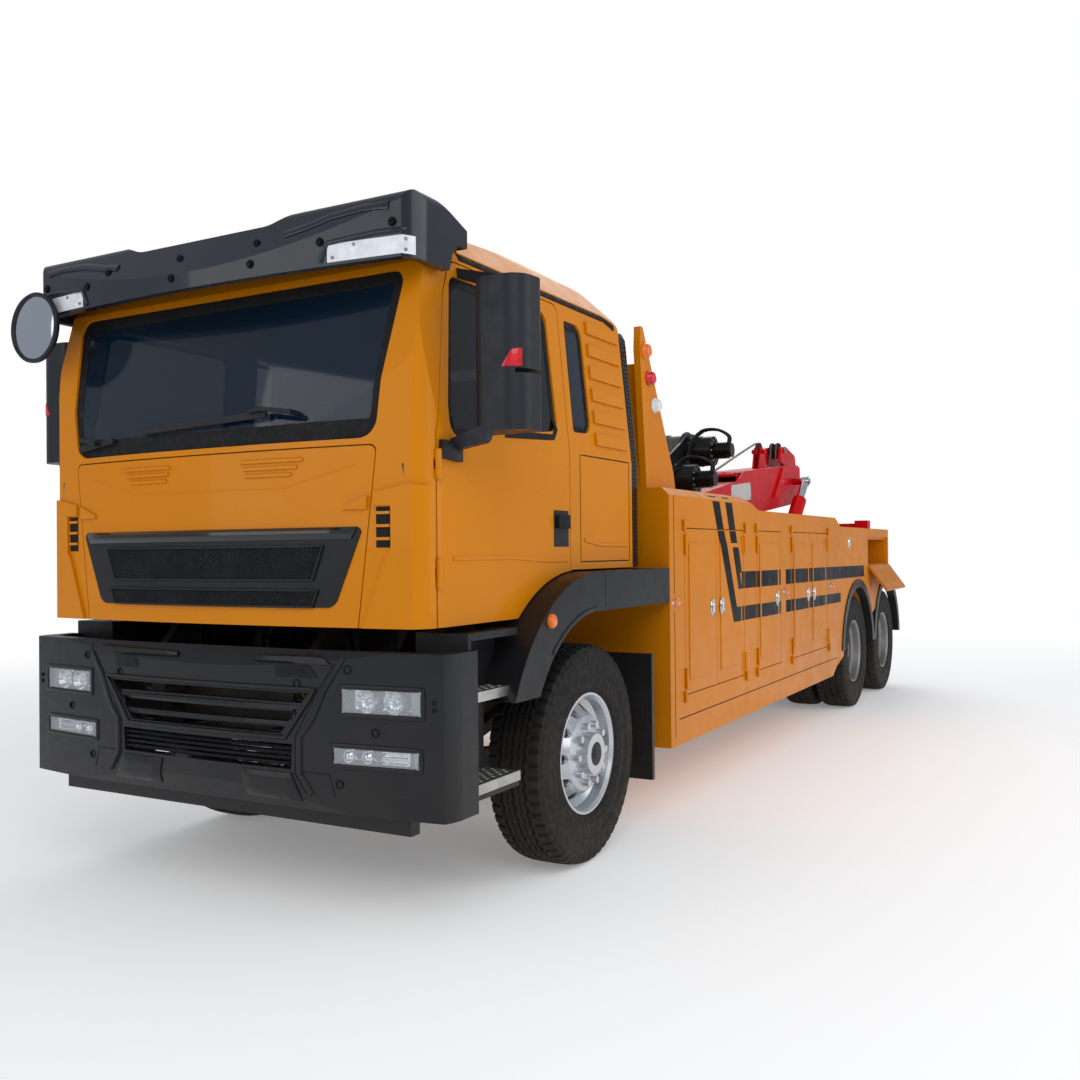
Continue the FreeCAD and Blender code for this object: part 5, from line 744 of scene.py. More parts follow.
WIPERS = (
    # boss, blade's inner end, blade's outer end, height of the blade, length of the arm
    (0.553, -0.42, 0.34, 2.135, 0.300),
    (-0.684, -0.865, -0.60, 2.080, 0.140),
)
BOSS_HEIGHT = 2.022
for number, (boss_x, blade_low, blade_high, tip_z, arm_span) in enumerate(WIPERS):
    spot = spot_on(cab_skin, "front", boss_x, BOSS_HEIGHT)
    boss = [(0.010, 0.026), (-0.024, 0.026), (-0.036, 0.022), (-0.042, 0.015), (-0.042, 0.003)]
    turned_set(f"wiper_boss_{number}", [(boss, spot, 20, 1)], black_moulding, "cab",
               axis="y")
    knee, wrist, tip = (boss_x - share * arm_span for share in (0.20, 0.75, 1.0))
    arm = [spot + Vector((0, -0.032, 0.004)), on_screen(knee, tip_z - 0.010, 0.055),
           on_screen(wrist, tip_z + 0.015, 0.050), on_screen(tip, tip_z + 0.012, 0.036)]
    swept(arm, 0.011, 0.009, wiper_points, wiper_faces)
    blade = []
    for k in range(9):
        x = blade_low + (blade_high - blade_low) * k / 8
        blade.append(on_screen(x, tip_z - 0.030 * (1 - k / 8), 0.022))
    swept(blade, 0.006, 0.014, wiper_points, wiper_faces)
piece("wipers", wiper_points, wiper_faces, black_moulding, "cab", smooth=40)

DOOR_PATCHES = (
    # name, corners, steps, rise, sink, bevel, surface
    ("belt_block", ((-1.190, 1.925), (-1.060, 1.915), (-1.060, 1.985), (-1.190, 1.998)), (5, 3), 0.040, 0.004,
     0.014, black_moulding),
    ("handle_dish", rectangle(-0.227, -0.075, 1.566, 1.742), (4, 5), 0.006, 0.004, 0.004, black_moulding),
    ("handle_grip", rectangle(-0.210, -0.090, 1.655, 1.720), (4, 3), 0.034, -0.008, 0.012, black_rubber),
)
DOOR_CREASE = [(-1.10, 1.52), (-0.62, 1.52), (-0.30, 1.50), (-0.09, 1.50)]
for side, sign in SIDES:
    door = f"cab_door_{side}"
    door_skin = skin(door)
    for name, *shape, surface in DOOR_PATCHES:
        patch(f"{name}_{side}", door_skin, [(side, *shape)], surface, door)
    strip(f"door_crease_{side}", door_skin, [(side, DOOR_CREASE, 0.02, 0.005, 0.06)], cab_paint, door)

# ---------------------------------------------------------------- door mirrors
# Two black housings on cranked tubes: the main glass above, a wide-angle glass below, and a small
# red repeater lens in the outer shoulder between them.
mirror_black = finish("mirror_black", (34, 36, 42), 0.40, cloud=(0.08, 0.3), grain=(0.3, 0.0014))
mirror_glass = finish("mirror_glass", (188, 196, 204), 0.03, metal=1.0, cloud=(0.02, 0.5))
red_lens = finish("red_lens", (196, 22, 34), 0.14, coat=0.6, cloud=(0.2, 0.03), grain=(0.8, 0.006))
MIRROR_GLASSES = ((2.292, 2.620), (2.058, 2.236))
REPEATER = ((1.372, 2.280), (1.446, 2.280), (1.446, 2.352), (1.412, 2.346))
for side, sign in SIDES:
    node = f"door_mirror_{side}"
    dress(mirror_black, node)
    mirror_skin = skin(node)
    glasses = [("rear", both(rectangle(1.250, 1.440, low, high), sign), (6, 8), 0.003, 0.002, 0.002)
               for low, high in MIRROR_GLASSES]
    patch(f"{node}_glass", mirror_skin, glasses, mirror_glass, f"cab_door_{side}")
    patch(f"{node}_repeater", mirror_skin, [("front", both(REPEATER, sign), (5, 6), 0.004, 0.002, 0.002)],
          red_lens, f"cab_door_{side}")

# ---------------------------------------------------------------- bumper
# Thick black plastic mouldings bolted to a steel beam: a middle section with a notched top lip,
# two outer modules that hold the lamps, a lower apron in three pieces, and a steel underrun bar.
bumper_black = finish("bumper_black", (22, 23, 27), 0.34, coat=0.10, cloud=(0.10, 0.3), grain=(0.35, 0.0016),
                      dust=0.08)
flat_black = finish("flat_black", (13, 13, 14), 0.5, cloud=(0.1, 0.3), grain=(0.2, 0.002))
dress(bumper_black, "bumper")
bumper_skin = skin("bumper", "lamps")
LIPS = (
    # corners, steps
    (((-0.700, 1.095), (-0.155, 1.095), (-0.165, 1.115), (-0.640, 1.128)), (10, 2)),
    (((0.300, 1.095), (0.700, 1.095), (0.640, 1.128), (0.310, 1.118)), (8, 2)),
)
FLATS = (rectangle(-0.560, -0.400, 1.036, 1.088),
         ((0.420, 1.036), (0.640, 1.036), (0.600, 1.088), (0.420, 1.088)))
patch("bumper_lips", bumper_skin, [("front", corners, steps, 0.020, 0.006, 0.010) for corners, steps in LIPS],
      bumper_black, "truck")
patch("bumper_flats", bumper_skin, [("front", corners, (4, 2), 0.004, 0.003, 0.002) for corners in FLATS],
      flat_black, "truck")
BUMPER_STRIPS = (
    # name, path, width, rise, surface
    ("module_seam", ((0.735, 1.120), (0.640, 0.990), (0.520, 0.790), (0.520, 0.640), (0.580, 0.560)), 0.007,
     0.0015, flat_black),
    ("module_ridge", ((0.760, 1.122), (0.668, 0.990), (0.610, 0.870), (0.545, 0.790), (0.545, 0.640),
                      (0.605, 0.560)), 0.024, 0.008, bumper_black),
    ("apron_seam", ((0.545, 0.650), (0.690, 0.650), (0.720, 0.560)), 0.006, 0.0015, flat_black),
)
APRON = ((0.262, 0.530), (0.560, 0.530), (0.500, 0.640), (0.240, 0.640))
for side, sign in SIDES:
    for name, path, width, rise, surface in BUMPER_STRIPS:
        strip(f"{name}_{side}", bumper_skin, [("front", both(path, sign), width, rise, 0.04)], surface,
              "truck")
    patch(f"apron_{side}", bumper_skin, [("front", both(APRON, sign), (8, 5), 0.014, 0.006, 0.008)],
          bumper_black, "truck")
INTAKE = [(-0.625, 0.990), (-0.470, 0.785), (0.470, 0.785), (0.625, 0.990)]
strip("intake_frame", bumper_skin, [("front", INTAKE, 0.020, 0.010, 0.04)], bumper_black, "truck",
      closed=True)

BUMPER_FACE = -1.400
SLAT_STEPS = 12
slats = []
slat_faces = []
for z, half, depth in ((0.905, 0.545, 0.040), (0.838, 0.500, 0.040), (0.742, 0.500, 0.030),
                       (0.720, 0.495, 0.034), (0.698, 0.490, 0.038), (0.676, 0.485, 0.042)):
    start = len(slats)
    thick = 0.012 if z > 0.8 else 0.006
    for k in range(SLAT_STEPS + 1):
        x = -half + 2 * half * k / SLAT_STEPS
        front = BUMPER_FACE + bowed(x) + 0.010
        for y, rise in ((front, -thick), (front - 0.006, 0.0), (front, thick), (front + depth, thick),
                        (front + depth, -thick)):
            slats.append((x, y, z + rise))
    slat_faces += capped_faces(SLAT_STEPS + 1, 5, start)
piece("bumper_slats", slats, slat_faces, bumper_black, "truck")

CAP = ((-0.004, 0.020), (0.002, 0.020), (0.005, 0.016), (0.005, 0.013), (-0.001, 0.012), (-0.001, 0.002))
CAPS = ((0.780, 1.075), (0.908, 0.828), (0.740, 0.612), (0.531, 1.010), (0.399, 0.577), (0.512, 0.876),
        (1.170, 0.960), (1.170, 0.930))
caps = []
for x, z in CAPS:
    for sign in (-1, 1):
        spot = spot_on(bumper_skin, "front", sign * x, z)
        size = 0.5 if x > 1.1 else 1.0
        caps.append(([(along, radius * size) for along, radius in CAP], spot, 16, -1))
turned_set("bumper_caps", caps, flat_black, "truck", axis="y", smooth=30)

# ---------------------------------------------------------------- lamps
# Clear polycarbonate covers over chromed reflectors: two round ones in the headlamp, two small
# projectors and a light bar in the fog lamp.  The rest are small amber, red and clear lenses.
clear_cover = finish("clear_cover", (222, 228, 232), 0.04, cloud=(0.02, 0.3), alpha=0.22)
chrome = finish("chrome", (205, 208, 211), 0.10, metal=1.0, cloud=(0.06, 0.05))
lamp_grey = finish("lamp_grey", (126, 124, 119), 0.35, metal=0.3, cloud=(0.15, 0.05))
amber_lens = finish("amber_lens", (226, 112, 18), 0.16, coat=0.6, cloud=(0.15, 0.03), grain=(0.6, 0.005))
LAMPS_FITTED = (
    # name, inner end, outer end, low, high
    ("headlamp", 0.744, 1.122, 0.894, 1.008),
    ("foglamp", 0.704, 1.112, 0.686, 0.770),
)
HEAD_BOWL = ((0.052, 0.004), (0.050, 0.000), (0.047, 0.004), (0.042, 0.016), (0.033, 0.026), (0.022, 0.032),
             (0.014, 0.034), (0.013, 0.022), (0.009, 0.016), (0.001, 0.014))
FOG_BOWL = ((0.029, 0.002), (0.027, -0.003), (0.024, 0.003), (0.021, 0.002), (0.016, -0.006), (0.009, -0.011),
            (0.001, -0.013))


def ring_set(x, z, front, rings, ribs, points, faces):
    """A bowl of rings (radius, depth behind the front), rippled into ribs."""
    start = len(points)
    steps = 48
    for radius, depth in rings:
        for step, (level, upright) in enumerate(circle(steps)):
            angle = 2 * math.pi * step / steps
            ripple = 0.0022 * math.cos(angle * ribs) if ribs and 0.012 < radius < 0.05 else 0.0
            points.append((x + radius * level, front + depth + ripple, z + radius * upright))
    faces += grid_faces(len(rings), steps, closed_columns=True, start=start)


def span(sign, first, last):
    """Two distances from the middle, on one side of the truck, the lower x first."""
    return sorted((sign * first, sign * last))


def framed(name, shapes, surface, bow=1.0, way=1):
    """Bevelled bars across the truck: each is (x low, x high, z low, z high, y front, y back)."""
    points, faces = [], []
    for x_low, x_high, z_low, z_high, front, back in shapes:
        start = len(points)
        trim = min(0.004, (x_high - x_low) / 4, (z_high - z_low) / 4)
        for y, t in ((back, 0.0), (front + way * trim, 0.0), (front, trim)):
            for x, z in ((x_low + t, z_low + t), (x_high - t, z_low + t), (x_high - t, z_high - t),
                         (x_low + t, z_high - t)):
                points.append((x, y + bow * bowed(x), z))
        faces += capped_faces(3, 4, start)
    return piece(name, points, faces, surface, "truck", 30)


bowl_points, bowl_faces = [], []
trays = []
greys = []
bars = []
bezels = []
covers = []
for side, sign in SIDES:
    for x in (0.858, 0.985):
        ring_set(sign * x, 0.951, -1.388 + bowed(x), HEAD_BOWL, 16, bowl_points, bowl_faces)
    for x in (0.780, 0.868):
        ring_set(sign * x, 0.728, -1.392 + bowed(x), FOG_BOWL, 0, bowl_points, bowl_faces)
    for name, inner, outer, z_low, z_high in LAMPS_FITTED:
        corners = both(rectangle(inner, outer, z_low, z_high), sign)
        bezels.append(("front", corners, 0.020, 0.006, 0.03))
        covers.append(("front", corners, (14, 4), 0.0015, 0.003, 0.001))
        trays.append((*span(sign, inner, outer), z_low, z_high, -1.350, -1.335))
    greys.append((*span(sign, 1.052, 1.116), 0.900, 1.002, -1.374, -1.345))
    greys.append((*span(sign, 1.062, 1.108), 0.692, 0.764, -1.374, -1.345))
    for z_low, z_high in ((0.700, 0.710), (0.722, 0.734), (0.746, 0.756)):
        bars.append((*span(sign, 0.925, 1.050), z_low, z_high, -1.384, -1.352))
    bars.append((*span(sign, 1.040, 1.052), 0.700, 0.756, -1.384, -1.352))
strip("lamp_bezels", bumper_skin, bezels, bumper_black, "truck", closed=True)
framed("lamp_trays", trays, chrome)
framed("lamp_greys", greys, lamp_grey)
framed("lamp_bars", bars, chrome)
piece("lamp_bowls", bowl_points, bowl_faces, chrome, "truck", smooth=60)
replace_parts(patch("lamp_covers", skin("lamps"), covers, clear_cover, "truck"), "lamps")

tail_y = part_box("lamps")[1].y - AXLE
for name, x_low, x_high, surface in (("amber", 0.832, 0.925, amber_lens), ("red", 0.930, 1.045, red_lens),
                                     ("clear", 1.050, 1.128, frosted_lens)):
    shapes = []
    for sign in (-1, 1):
        shapes.append((*span(sign, x_low, x_high), 0.622, 0.718, tail_y, tail_y - 0.043))
    framed(f"rear_lamps_{name}", shapes, surface, bow=0.0, way=-1)
ROUND_LENS = ((0.0, 0.044), (0.008, 0.044), (0.010, 0.040), (0.030, 0.038), (0.040, 0.028), (0.044, 0.012),
              (0.044, 0.002))
for name, y, z, surface in (("amber", 0.920, 2.695, amber_lens), ("red", 0.980, 2.545, red_lens),
                            ("clear", 1.060, 2.395, frosted_lens)):
    turned_set(f"board_lamp_{name}", [(ROUND_LENS, (1.111, y, z), 28, 1)], surface, "truck",
               smooth=60)

# ---------------------------------------------------------------- wings and steps
# Smooth black polyethylene wings over the front wheels, rubber flaps with a pimpled foot, and steps
# of bright chequered aluminium with a folded nosing, set in black wells.
guard_black = finish("guard_black", (24, 25, 28), 0.34, cloud=(0.10, 0.35), grain=(0.25, 0.0016), dust=0.14)
bright_plate = finish("bright_plate", (178, 178, 174), 0.32, metal=0.9, cloud=(0.16, 0.08),
                      grain=(0.2, 0.004), dust=0.2)
dress(guard_black, "guards_and_steps")
guard_skin = skin("guards_and_steps")
tread_points, tread_faces = [], []
TREADS = (
    # inner edge, outer edge, height
    (1.014, 1.188, 0.582),
    (1.074, 1.188, 0.962),
)
TREAD_FRONT = -1.076
TREAD_REAR = -0.704


BOX_FACES = ((0, 1, 2, 3), (4, 5, 6, 7), (0, 1, 5, 4), (1, 2, 6, 5), (2, 3, 7, 6), (3, 0, 4, 7))


def slab_box(low, high, points, faces):
    """A box between two opposite corners."""
    start = len(points)
    for z in (low[2], high[2]):
        points += [(low[0], low[1], z), (high[0], low[1], z), (high[0], high[1], z), (low[0], high[1], z)]
    faces += [tuple(start + i for i in face) for face in BOX_FACES]


for side, sign in SIDES:
    for inner, outer, height in TREADS:
        edges = span(sign, inner, outer)
        slab_box((edges[0], TREAD_FRONT, height - 0.002), (edges[1], TREAD_REAR, height + 0.006),
                 tread_points, tread_faces)
        nose = span(sign, outer - 0.004, outer + 0.012)
        slab_box((nose[0], TREAD_FRONT, height - 0.034), (nose[1], TREAD_REAR, height + 0.008), tread_points,
                 tread_faces)
        rows = 5 if outer - inner > 0.15 else 3
        for i in range(rows):
            for j in range(13):
                x = inner + 0.014 + (outer - inner - 0.028) * (i + 0.5) / rows
                y = TREAD_FRONT + 0.016 + (TREAD_REAR - TREAD_FRONT - 0.032) * (j + 0.5) / 13
                lean = 1 if (i + j) % 2 else -1
                start = len(tread_points)
                for along, across in ((-0.012, 0), (0, -0.003), (0.012, 0), (0, 0.003)):
                    u, v = (along + across) * 0.7071, (along - across) * 0.7071 * lean
                    tread_points.append((sign * x + u, y + v, height + 0.006))
                tread_points.append((sign * x, y, height + 0.0095))
                tread_faces += [(start + k, start + (k + 1) % 4, start + 4) for k in range(4)]
piece("step_treads", tread_points, tread_faces, bright_plate, "truck", smooth=20)
WING_SEAM_Y = 0.079
LIP_RADIUS = 0.722
LIP_FROM, LIP_SWEEP = 48, 40
WING_LENS = ((0.0, 0.034), (0.010, 0.034), (0.020, 0.028), (0.025, 0.016), (0.026, 0.002))
for side, sign in SIDES:
    seam = []
    for k in range(7):
        radius = 0.730 + 0.160 * k / 6
        seam.append((WING_SEAM_Y, TYRE_RADIUS + math.sqrt(radius * radius - WING_SEAM_Y * WING_SEAM_Y)))
    strip(f"wing_seam_{side}", guard_skin, [(side, seam, 0.005, 0.0012, 0.03)], flat_black, "truck")
    lip = []
    for k in range(25):
        angle = math.radians(LIP_FROM + LIP_SWEEP * k / 24)
        lip.append((-LIP_RADIUS * math.cos(angle), TYRE_RADIUS + LIP_RADIUS * math.sin(angle)))
    strip(f"wing_lip_{side}", guard_skin, [(side, lip, 0.018, 0.005, 0.05)], guard_black, "truck")
    spot = spot_on(guard_skin, side, -0.503, 1.229)
    turned_set(f"wing_lamp_{side}", [(WING_LENS, spot, 24, sign)], amber_lens, "truck",
               smooth=50)
    pimples = []
    for k in range(7):
        z = 0.300 + 0.022 * k
        pimples.append(("rear", both(((0.92, z), (1.22, z)), sign), 0.007, 0.004, 0.1))
    strip(f"flap_ribs_{side}", guard_skin, pimples, black_rubber, "truck")

# ---------------------------------------------------------------- body paint
# Folded sheet steel bodywork in the cab's colour: two body halves, ten locker leaves with pressed
# panels, and two station lids, all sprayed after assembly.
body_yellow = finish("body_yellow", (202, 120, 4), 0.36, coat=0.06, cloud=(0.06, 0.8), grain=(0.10, 0.010),
                     dust=0.06, shine=0.12)
LEAVES = (
    # name, front edge, rear edge, edge with the hinges, latch
    ("door_front_fore", 1.157, 1.717, 1.157, (1.621, 1.182)),
    ("door_front_aft", 1.723, 2.283, 2.283, (1.800, 1.182)),
    ("door_middle", 2.557, 3.159, 2.557, (3.042, 1.176)),
    ("door_rear_fore", 3.447, 4.017, 3.447, (3.925, 1.171)),
    ("door_rear_aft", 4.023, 4.593, 4.593, (4.115, 1.171)),
)
LEAF_LOW = 0.691
LEAF_HIGH = 1.669
leaf_skin = {}
body_skin = {}
for side, sign in SIDES:
    dress(body_yellow, f"body_{side}", f"station_lid_{side}")
    body_skin[side] = skin(f"body_{side}")
    for leaf, fore, aft, hinge, latch in LEAVES:
        dress(body_yellow, f"{leaf}_{side}")
        leaf_skin[leaf, side] = skin(f"{leaf}_{side}")
        low_z, high_z = LEAF_LOW + 0.075, LEAF_HIGH - 0.075
        panel = [(fore + 0.060, low_z), (fore + 0.060, high_z), (aft - 0.060, high_z), (aft - 0.060, low_z)]
        strip(f"{leaf}_panel_{side}", leaf_skin[leaf, side], [(side, panel, 0.016, 0.0009, 0.12)],
              body_yellow, f"{leaf}_{side}", closed=True)
dress(body_yellow, "headboard")
dress(bright_plate, "deck")

# ---------------------------------------------------------------- livery
# Blue-black film cut into two slanting stripes that turn into two level bands, laid leaf by leaf.
film_navy = finish("film_navy", (4, 5, 11), 0.34, cloud=(0.10, 0.6), shine=0.07)
FILM = 0.0016
FILM_STEP = 0.12
LEAF_AFT_END = 2.270
FAR_AFT = 9.0
# what carries the film, and from which y to which y it is laid there
GAPS = (("door_front_aft", 1.726, LEAF_AFT_END), ("body", 2.288, 2.552), ("door_middle", 2.569, 3.156),
        ("body", 3.164, 3.442), ("door_rear_fore", 3.459, 4.014), ("door_rear_aft", 4.026, 4.580),
        ("body", 4.598, FAR_AFT))
BANDS = (
    # first y, last y, low edge at the first and last y, high edge at the first and last y
    (2.215, 6.080, 1.278, 1.261, 1.393, 1.370),
    (2.060, 5.080, 1.062, 1.054, 1.160, 1.137),
)
SLANTS = (
    # height of the top, y there, slope, width at the top, height of the foot
    (1.884, 1.646, 0.478, 0.128, 1.062),
    (1.884, 1.894, 0.414, 0.130, 1.278),
)
for side, sign in SIDES:
    film = {}
    for first, last, low_first, low_last, high_first, high_last in BANDS:
        for zone, zone_first, zone_last in GAPS:
            a, b = max(first, zone_first), min(last, zone_last)
            if b - a < 0.02:
                continue
            count = max(2, round((b - a) / FILM_STEP))
            rows = []
            for k in range(count + 1):
                y = a + (b - a) * k / count
                share = (y - first) / (last - first)
                rows.append([(y, at_first + (at_last - at_first) * share)
                             for at_first, at_last in ((low_first, low_last), (high_first, high_last))])
            film.setdefault(zone, []).append((side, rows, 2, FILM, 0.0005, 0.0))
    for top, y_top, slope, width, foot in SLANTS:
        for zone, z_high, z_low in (("body", top, LEAF_HIGH + 0.006),
                                    ("door_front_aft", LEAF_HIGH - 0.004, foot)):
            rows = []
            for k in range(7):
                z = z_high + (z_low - z_high) * k / 6
                y = y_top + slope * (top - z)
                end = y + width - 0.022 * (top - z) / (top - foot)
                rows.append(((y, z), (min(end, LEAF_AFT_END if z < LEAF_HIGH else FAR_AFT), z)))
            film.setdefault(zone, []).append((side, rows, 2, FILM * 1.3, 0.0005, 0.0))
    for zone, jobs in film.items():
        on_body = zone == "body"
        tree = body_skin[side] if on_body else leaf_skin[zone, side]
        body = "truck" if on_body else f"{zone}_{side}"
        ribbon(f"film_{zone}_{side}", tree, jobs, film_navy, body)

# ---------------------------------------------------------------- locker furniture
# Pressed steel bullet hinges painted with the body, chromed oval paddle latches set in black dishes,
# and oval amber side lamps in chromed rims.
dish_black = finish("dish_black", (18, 18, 19), 0.40, cloud=(0.08, 0.2))
BULLET = ((-0.036, 0.002), (-0.032, 0.007), (-0.024, 0.010), (0.0, 0.010), (0.001, 0.0085), (0.003, 0.0085),
          (0.004, 0.010), (0.024, 0.010), (0.032, 0.007), (0.036, 0.002))


def oval(spot, sign, half_y, half_z, rings, points, faces):
    """Rings of an oval boss on the side of the truck: each is (share of the oval, height off the face)."""
    start = len(points)
    steps = 28
    for share, height in rings:
        for level, upright in circle(steps):
            points.append((spot.x + sign * height, spot.y + half_y * share * level,
                           spot.z + half_z * share * upright))
    faces += grid_faces(len(rings), steps, closed_columns=True, start=start)
    faces.append(tuple(range(start + (len(rings) - 1) * steps, start + len(rings) * steps)))


RIM = ((1.0, -0.001), (1.0, 0.006), (0.94, 0.009), (0.84, 0.008), (0.78, 0.0015))
DISH = ((0.80, 0.001), (0.5, 0.0014), (0.05, 0.0014))
PADDLE = ((0.62, 0.001), (0.62, 0.009), (0.54, 0.013), (0.30, 0.015), (0.05, 0.0155))
LENS = ((0.80, 0.001), (0.78, 0.012), (0.64, 0.020), (0.36, 0.025), (0.05, 0.026))
BULLET_HEIGHTS = (1.690, 0.680)
SIDE_LAMPS = ((1.017, 1.240), (3.276, 1.215), (4.737, 1.208))
for side, sign in SIDES:
    bullets = []
    for leaf, fore, aft, hinge, latch in LEAVES:
        turn = 1 if hinge == fore else -1
        for z in BULLET_HEIGHTS:
            spot = spot_on(body_skin[side], side, hinge - turn * 0.012, z)
            bullets.append((BULLET, (spot.x + sign * 0.010, spot.y, z), 14, 1))
        chrome_points, chrome_faces, dish_points, dish_faces = [], [], [], []
        spot = spot_on(leaf_skin[leaf, side], side, *latch)
        oval(spot, sign, 0.034, 0.058, RIM, chrome_points, chrome_faces)
        oval(spot, sign, 0.018, 0.050, PADDLE, chrome_points, chrome_faces)
        oval(spot, sign, 0.034, 0.058, DISH, dish_points, dish_faces)
        piece(f"{leaf}_latch_{side}", chrome_points, chrome_faces, chrome, f"{leaf}_{side}", 50)
        piece(f"{leaf}_dish_{side}", dish_points, dish_faces, dish_black, f"{leaf}_{side}",
              50)
    turned_set(f"bullet_hinges_{side}", bullets, body_yellow, "truck", axis="z", smooth=50)
    rim_points, rim_faces, lens_points, lens_faces = [], [], [], []
    for y, z in SIDE_LAMPS:
        spot = spot_on(body_skin[side], side, y, z)
        oval(spot, sign, 0.056, 0.026, RIM, rim_points, rim_faces)
        oval(spot, sign, 0.056, 0.026, LENS, lens_points, lens_faces)
    spot = spot_on(body_skin[side], side, 5.439, 1.594)
    oval(spot, sign, 0.034, 0.058, RIM + PADDLE, rim_points, rim_faces)
    piece(f"side_lamp_rims_{side}", rim_points, rim_faces, chrome, "truck", 50)
    piece(f"side_lamps_{side}", lens_points, lens_faces, amber_lens, "truck", 50)

# ---------------------------------------------------------------- body seams and station lids
# The halves are built of folded sheets: a corner fold up the front, a joint line along the top flange
# and raised beads on the lids, which fold down as shelves over the control stations.
BODY_FOLDS = (([(1.000, 0.46), (1.000, 1.19)], 0.12), ([(1.000, 1.29), (1.000, 1.86)], 0.12),
              ([(1.06, 0.560), (4.90, 0.560)], 0.15))
for side, sign in SIDES:
    folds = [(side, path, 0.006, 0.0012, step) for path, step in BODY_FOLDS]
    strip(f"body_seams_{side}", body_skin[side], folds, seam_black, "truck")
    low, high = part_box(f"station_lid_{side}")
    beads = []
    lid_skin = skin(f"station_lid_{side}")
    for k in range(9):
        y = low.y - AXLE + 0.11 + (high.y - low.y - 0.22) * k / 8
        if side == "left":
            beads.append(("top", [(low.x + 0.060, y), (high.x - 0.045, y)], 0.036, 0.0025, 0.05))
        else:
            beads.append((side, [(y, low.z + 0.035), (y, high.z - 0.035)], 0.040, 0.004, 0.05))
    strip(f"lid_beads_{side}", lid_skin, beads, body_yellow, f"station_lid_{side}")

# ---------------------------------------------------------------- winches
# Two hydraulic winches stacked in a black welded frame: a drum wound with wire rope, a planetary gear
# case with its bolt ring, a finned motor and two hoses each.
winch_black = finish("winch_black", (20, 21, 23), 0.34, coat=0.1, cloud=(0.14, 0.3), grain=(0.2, 0.004),
                     dust=0.25)
wire_rope = finish("wire_rope", (112, 108, 98), 0.42, metal=0.7, cloud=(0.22, 0.03), grain=(0.4, 0.003),
                   dust=0.25)
hose_black = finish("hose_black", (20, 20, 21), 0.55, cloud=(0.10, 0.2), grain=(0.15, 0.002), dust=0.2)
dress(winch_black, "winch_frame", "winches")
WINCH_CENTRES = ((3.350, 2.330), (2.950, 2.080))
GEAR_END = 0.670
GEAR_RING = ((0.468, 0.110), (0.470, 0.132), (0.486, 0.132), (0.490, 0.110))
GEAR_LIP = ((0.560, 0.110), (0.562, 0.124), (0.574, 0.124), (0.576, 0.110))
RING_BOLT = ((0.484, 0.008), (0.496, 0.008), (0.498, 0.005))
FACE_BOLT = ((GEAR_END - 0.001, 0.009), (GEAR_END + 0.009, 0.009), (GEAR_END + 0.011, 0.006))
WRAPS = 42
RIPPLES = WRAPS * 4
DRUM_FROM = -0.278
DRUM_LENGTH = 0.706
rope_wraps = []
motor_fins = []
gear_bolts = []
for y, z in WINCH_CENTRES:
    profile = [(-0.280, 0.120)]
    for k in range(RIPPLES + 1):
        ripple = 0.007 * abs(math.sin(math.pi * k / 4))
        layer = 0.012 if 30 < k < RIPPLES - 30 else 0.0
        profile.append((DRUM_FROM + DRUM_LENGTH * k / RIPPLES, 0.130 + layer + ripple))
    profile.append((0.430, 0.120))
    rope_wraps.append((profile, (0, y, z), 36, 1))
    fins = [(GEAR_END - 0.002, 0.05)]
    for k in range(6):
        x = GEAR_END + 0.010 + 0.020 * k
        fins += [(x, 0.055), (x + 0.001, 0.066), (x + 0.009, 0.066), (x + 0.010, 0.055)]
    fins.append((GEAR_END + 0.125, 0.05))
    motor_fins += [(fins, (0, y, z), 28, 1), (GEAR_RING, (0, y, z), 36, 1), (GEAR_LIP, (0, y, z), 36, 1)]
    for level, upright in circle(12):
        for bolt, ring in ((RING_BOLT, 0.1215), (FACE_BOLT, 0.092)):
            gear_bolts.append((bolt, (0, y + ring * level, z + ring * upright), 6, 1))
turned_set("rope_wraps", rope_wraps, wire_rope, "truck", smooth=60)
turned_set("motor_fins", motor_fins, winch_black, "truck")
turned_set("gear_bolts", gear_bolts, zinc_steel, "truck")


def tube(path, radius, points, faces, steps=8, rounds=4, ends=True):
    """A round tube along a smoothed path."""
    ring = [Vector(p) for p in path]
    line = []
    for k in range(len(ring) - 1):
        p0, p1, p2, p3 = ring[max(k - 1, 0)], ring[k], ring[k + 1], ring[min(k + 2, len(ring) - 1)]
        for s in range(rounds):
            t = s / rounds
            curve = 2 * p1 + (p2 - p0) * t + (2 * p0 - 5 * p1 + 4 * p2 - p3) * t * t
            line.append(0.5 * (curve + (3 * p1 - p0 - 3 * p2 + p3) * t ** 3))
    line.append(ring[-1])
    start = len(points)
    for k, spot in enumerate(line):
        ahead = (line[min(k + 1, len(line) - 1)] - line[max(k - 1, 0)]).normalized()
        side_way = ahead.cross(Vector((0, 0, 1)) if abs(ahead.z) < 0.9 else Vector((1, 0, 0))).normalized()
        up_way = side_way.cross(ahead).normalized()
        for level, upright in circle(steps):
            points.append(tuple(spot + side_way * radius * level + up_way * radius * upright))
    if ends:
        faces += capped_faces(len(line), steps, start)
    else:
        faces += grid_faces(len(line), steps, False, True, start)


def tubes(name, jobs, surface, body, smooth=60):
    """Several tubes as one piece: each job is (path, radius)."""
    points, faces = [], []
    for path, radius in jobs:
        tube(path, radius, points, faces)
    return piece(name, points, faces, surface, body, smooth)


hoses = []
for y, z in WINCH_CENTRES:
    for shift in (-0.022, 0.022):
        at = y + shift
        path = ((0.790, at, z + 0.05), (0.790, at, z + 0.115), (0.70, at - 0.05, z + 0.165),
                (0.56, at - 0.06, z + 0.135), (0.50, at - 0.17, z - 0.10), (0.495, at - 0.16, 1.45),
                (0.495, at - 0.16, 1.262))
        hoses.append((path, 0.011))
tubes("winch_hoses", hoses, hose_black, "truck")

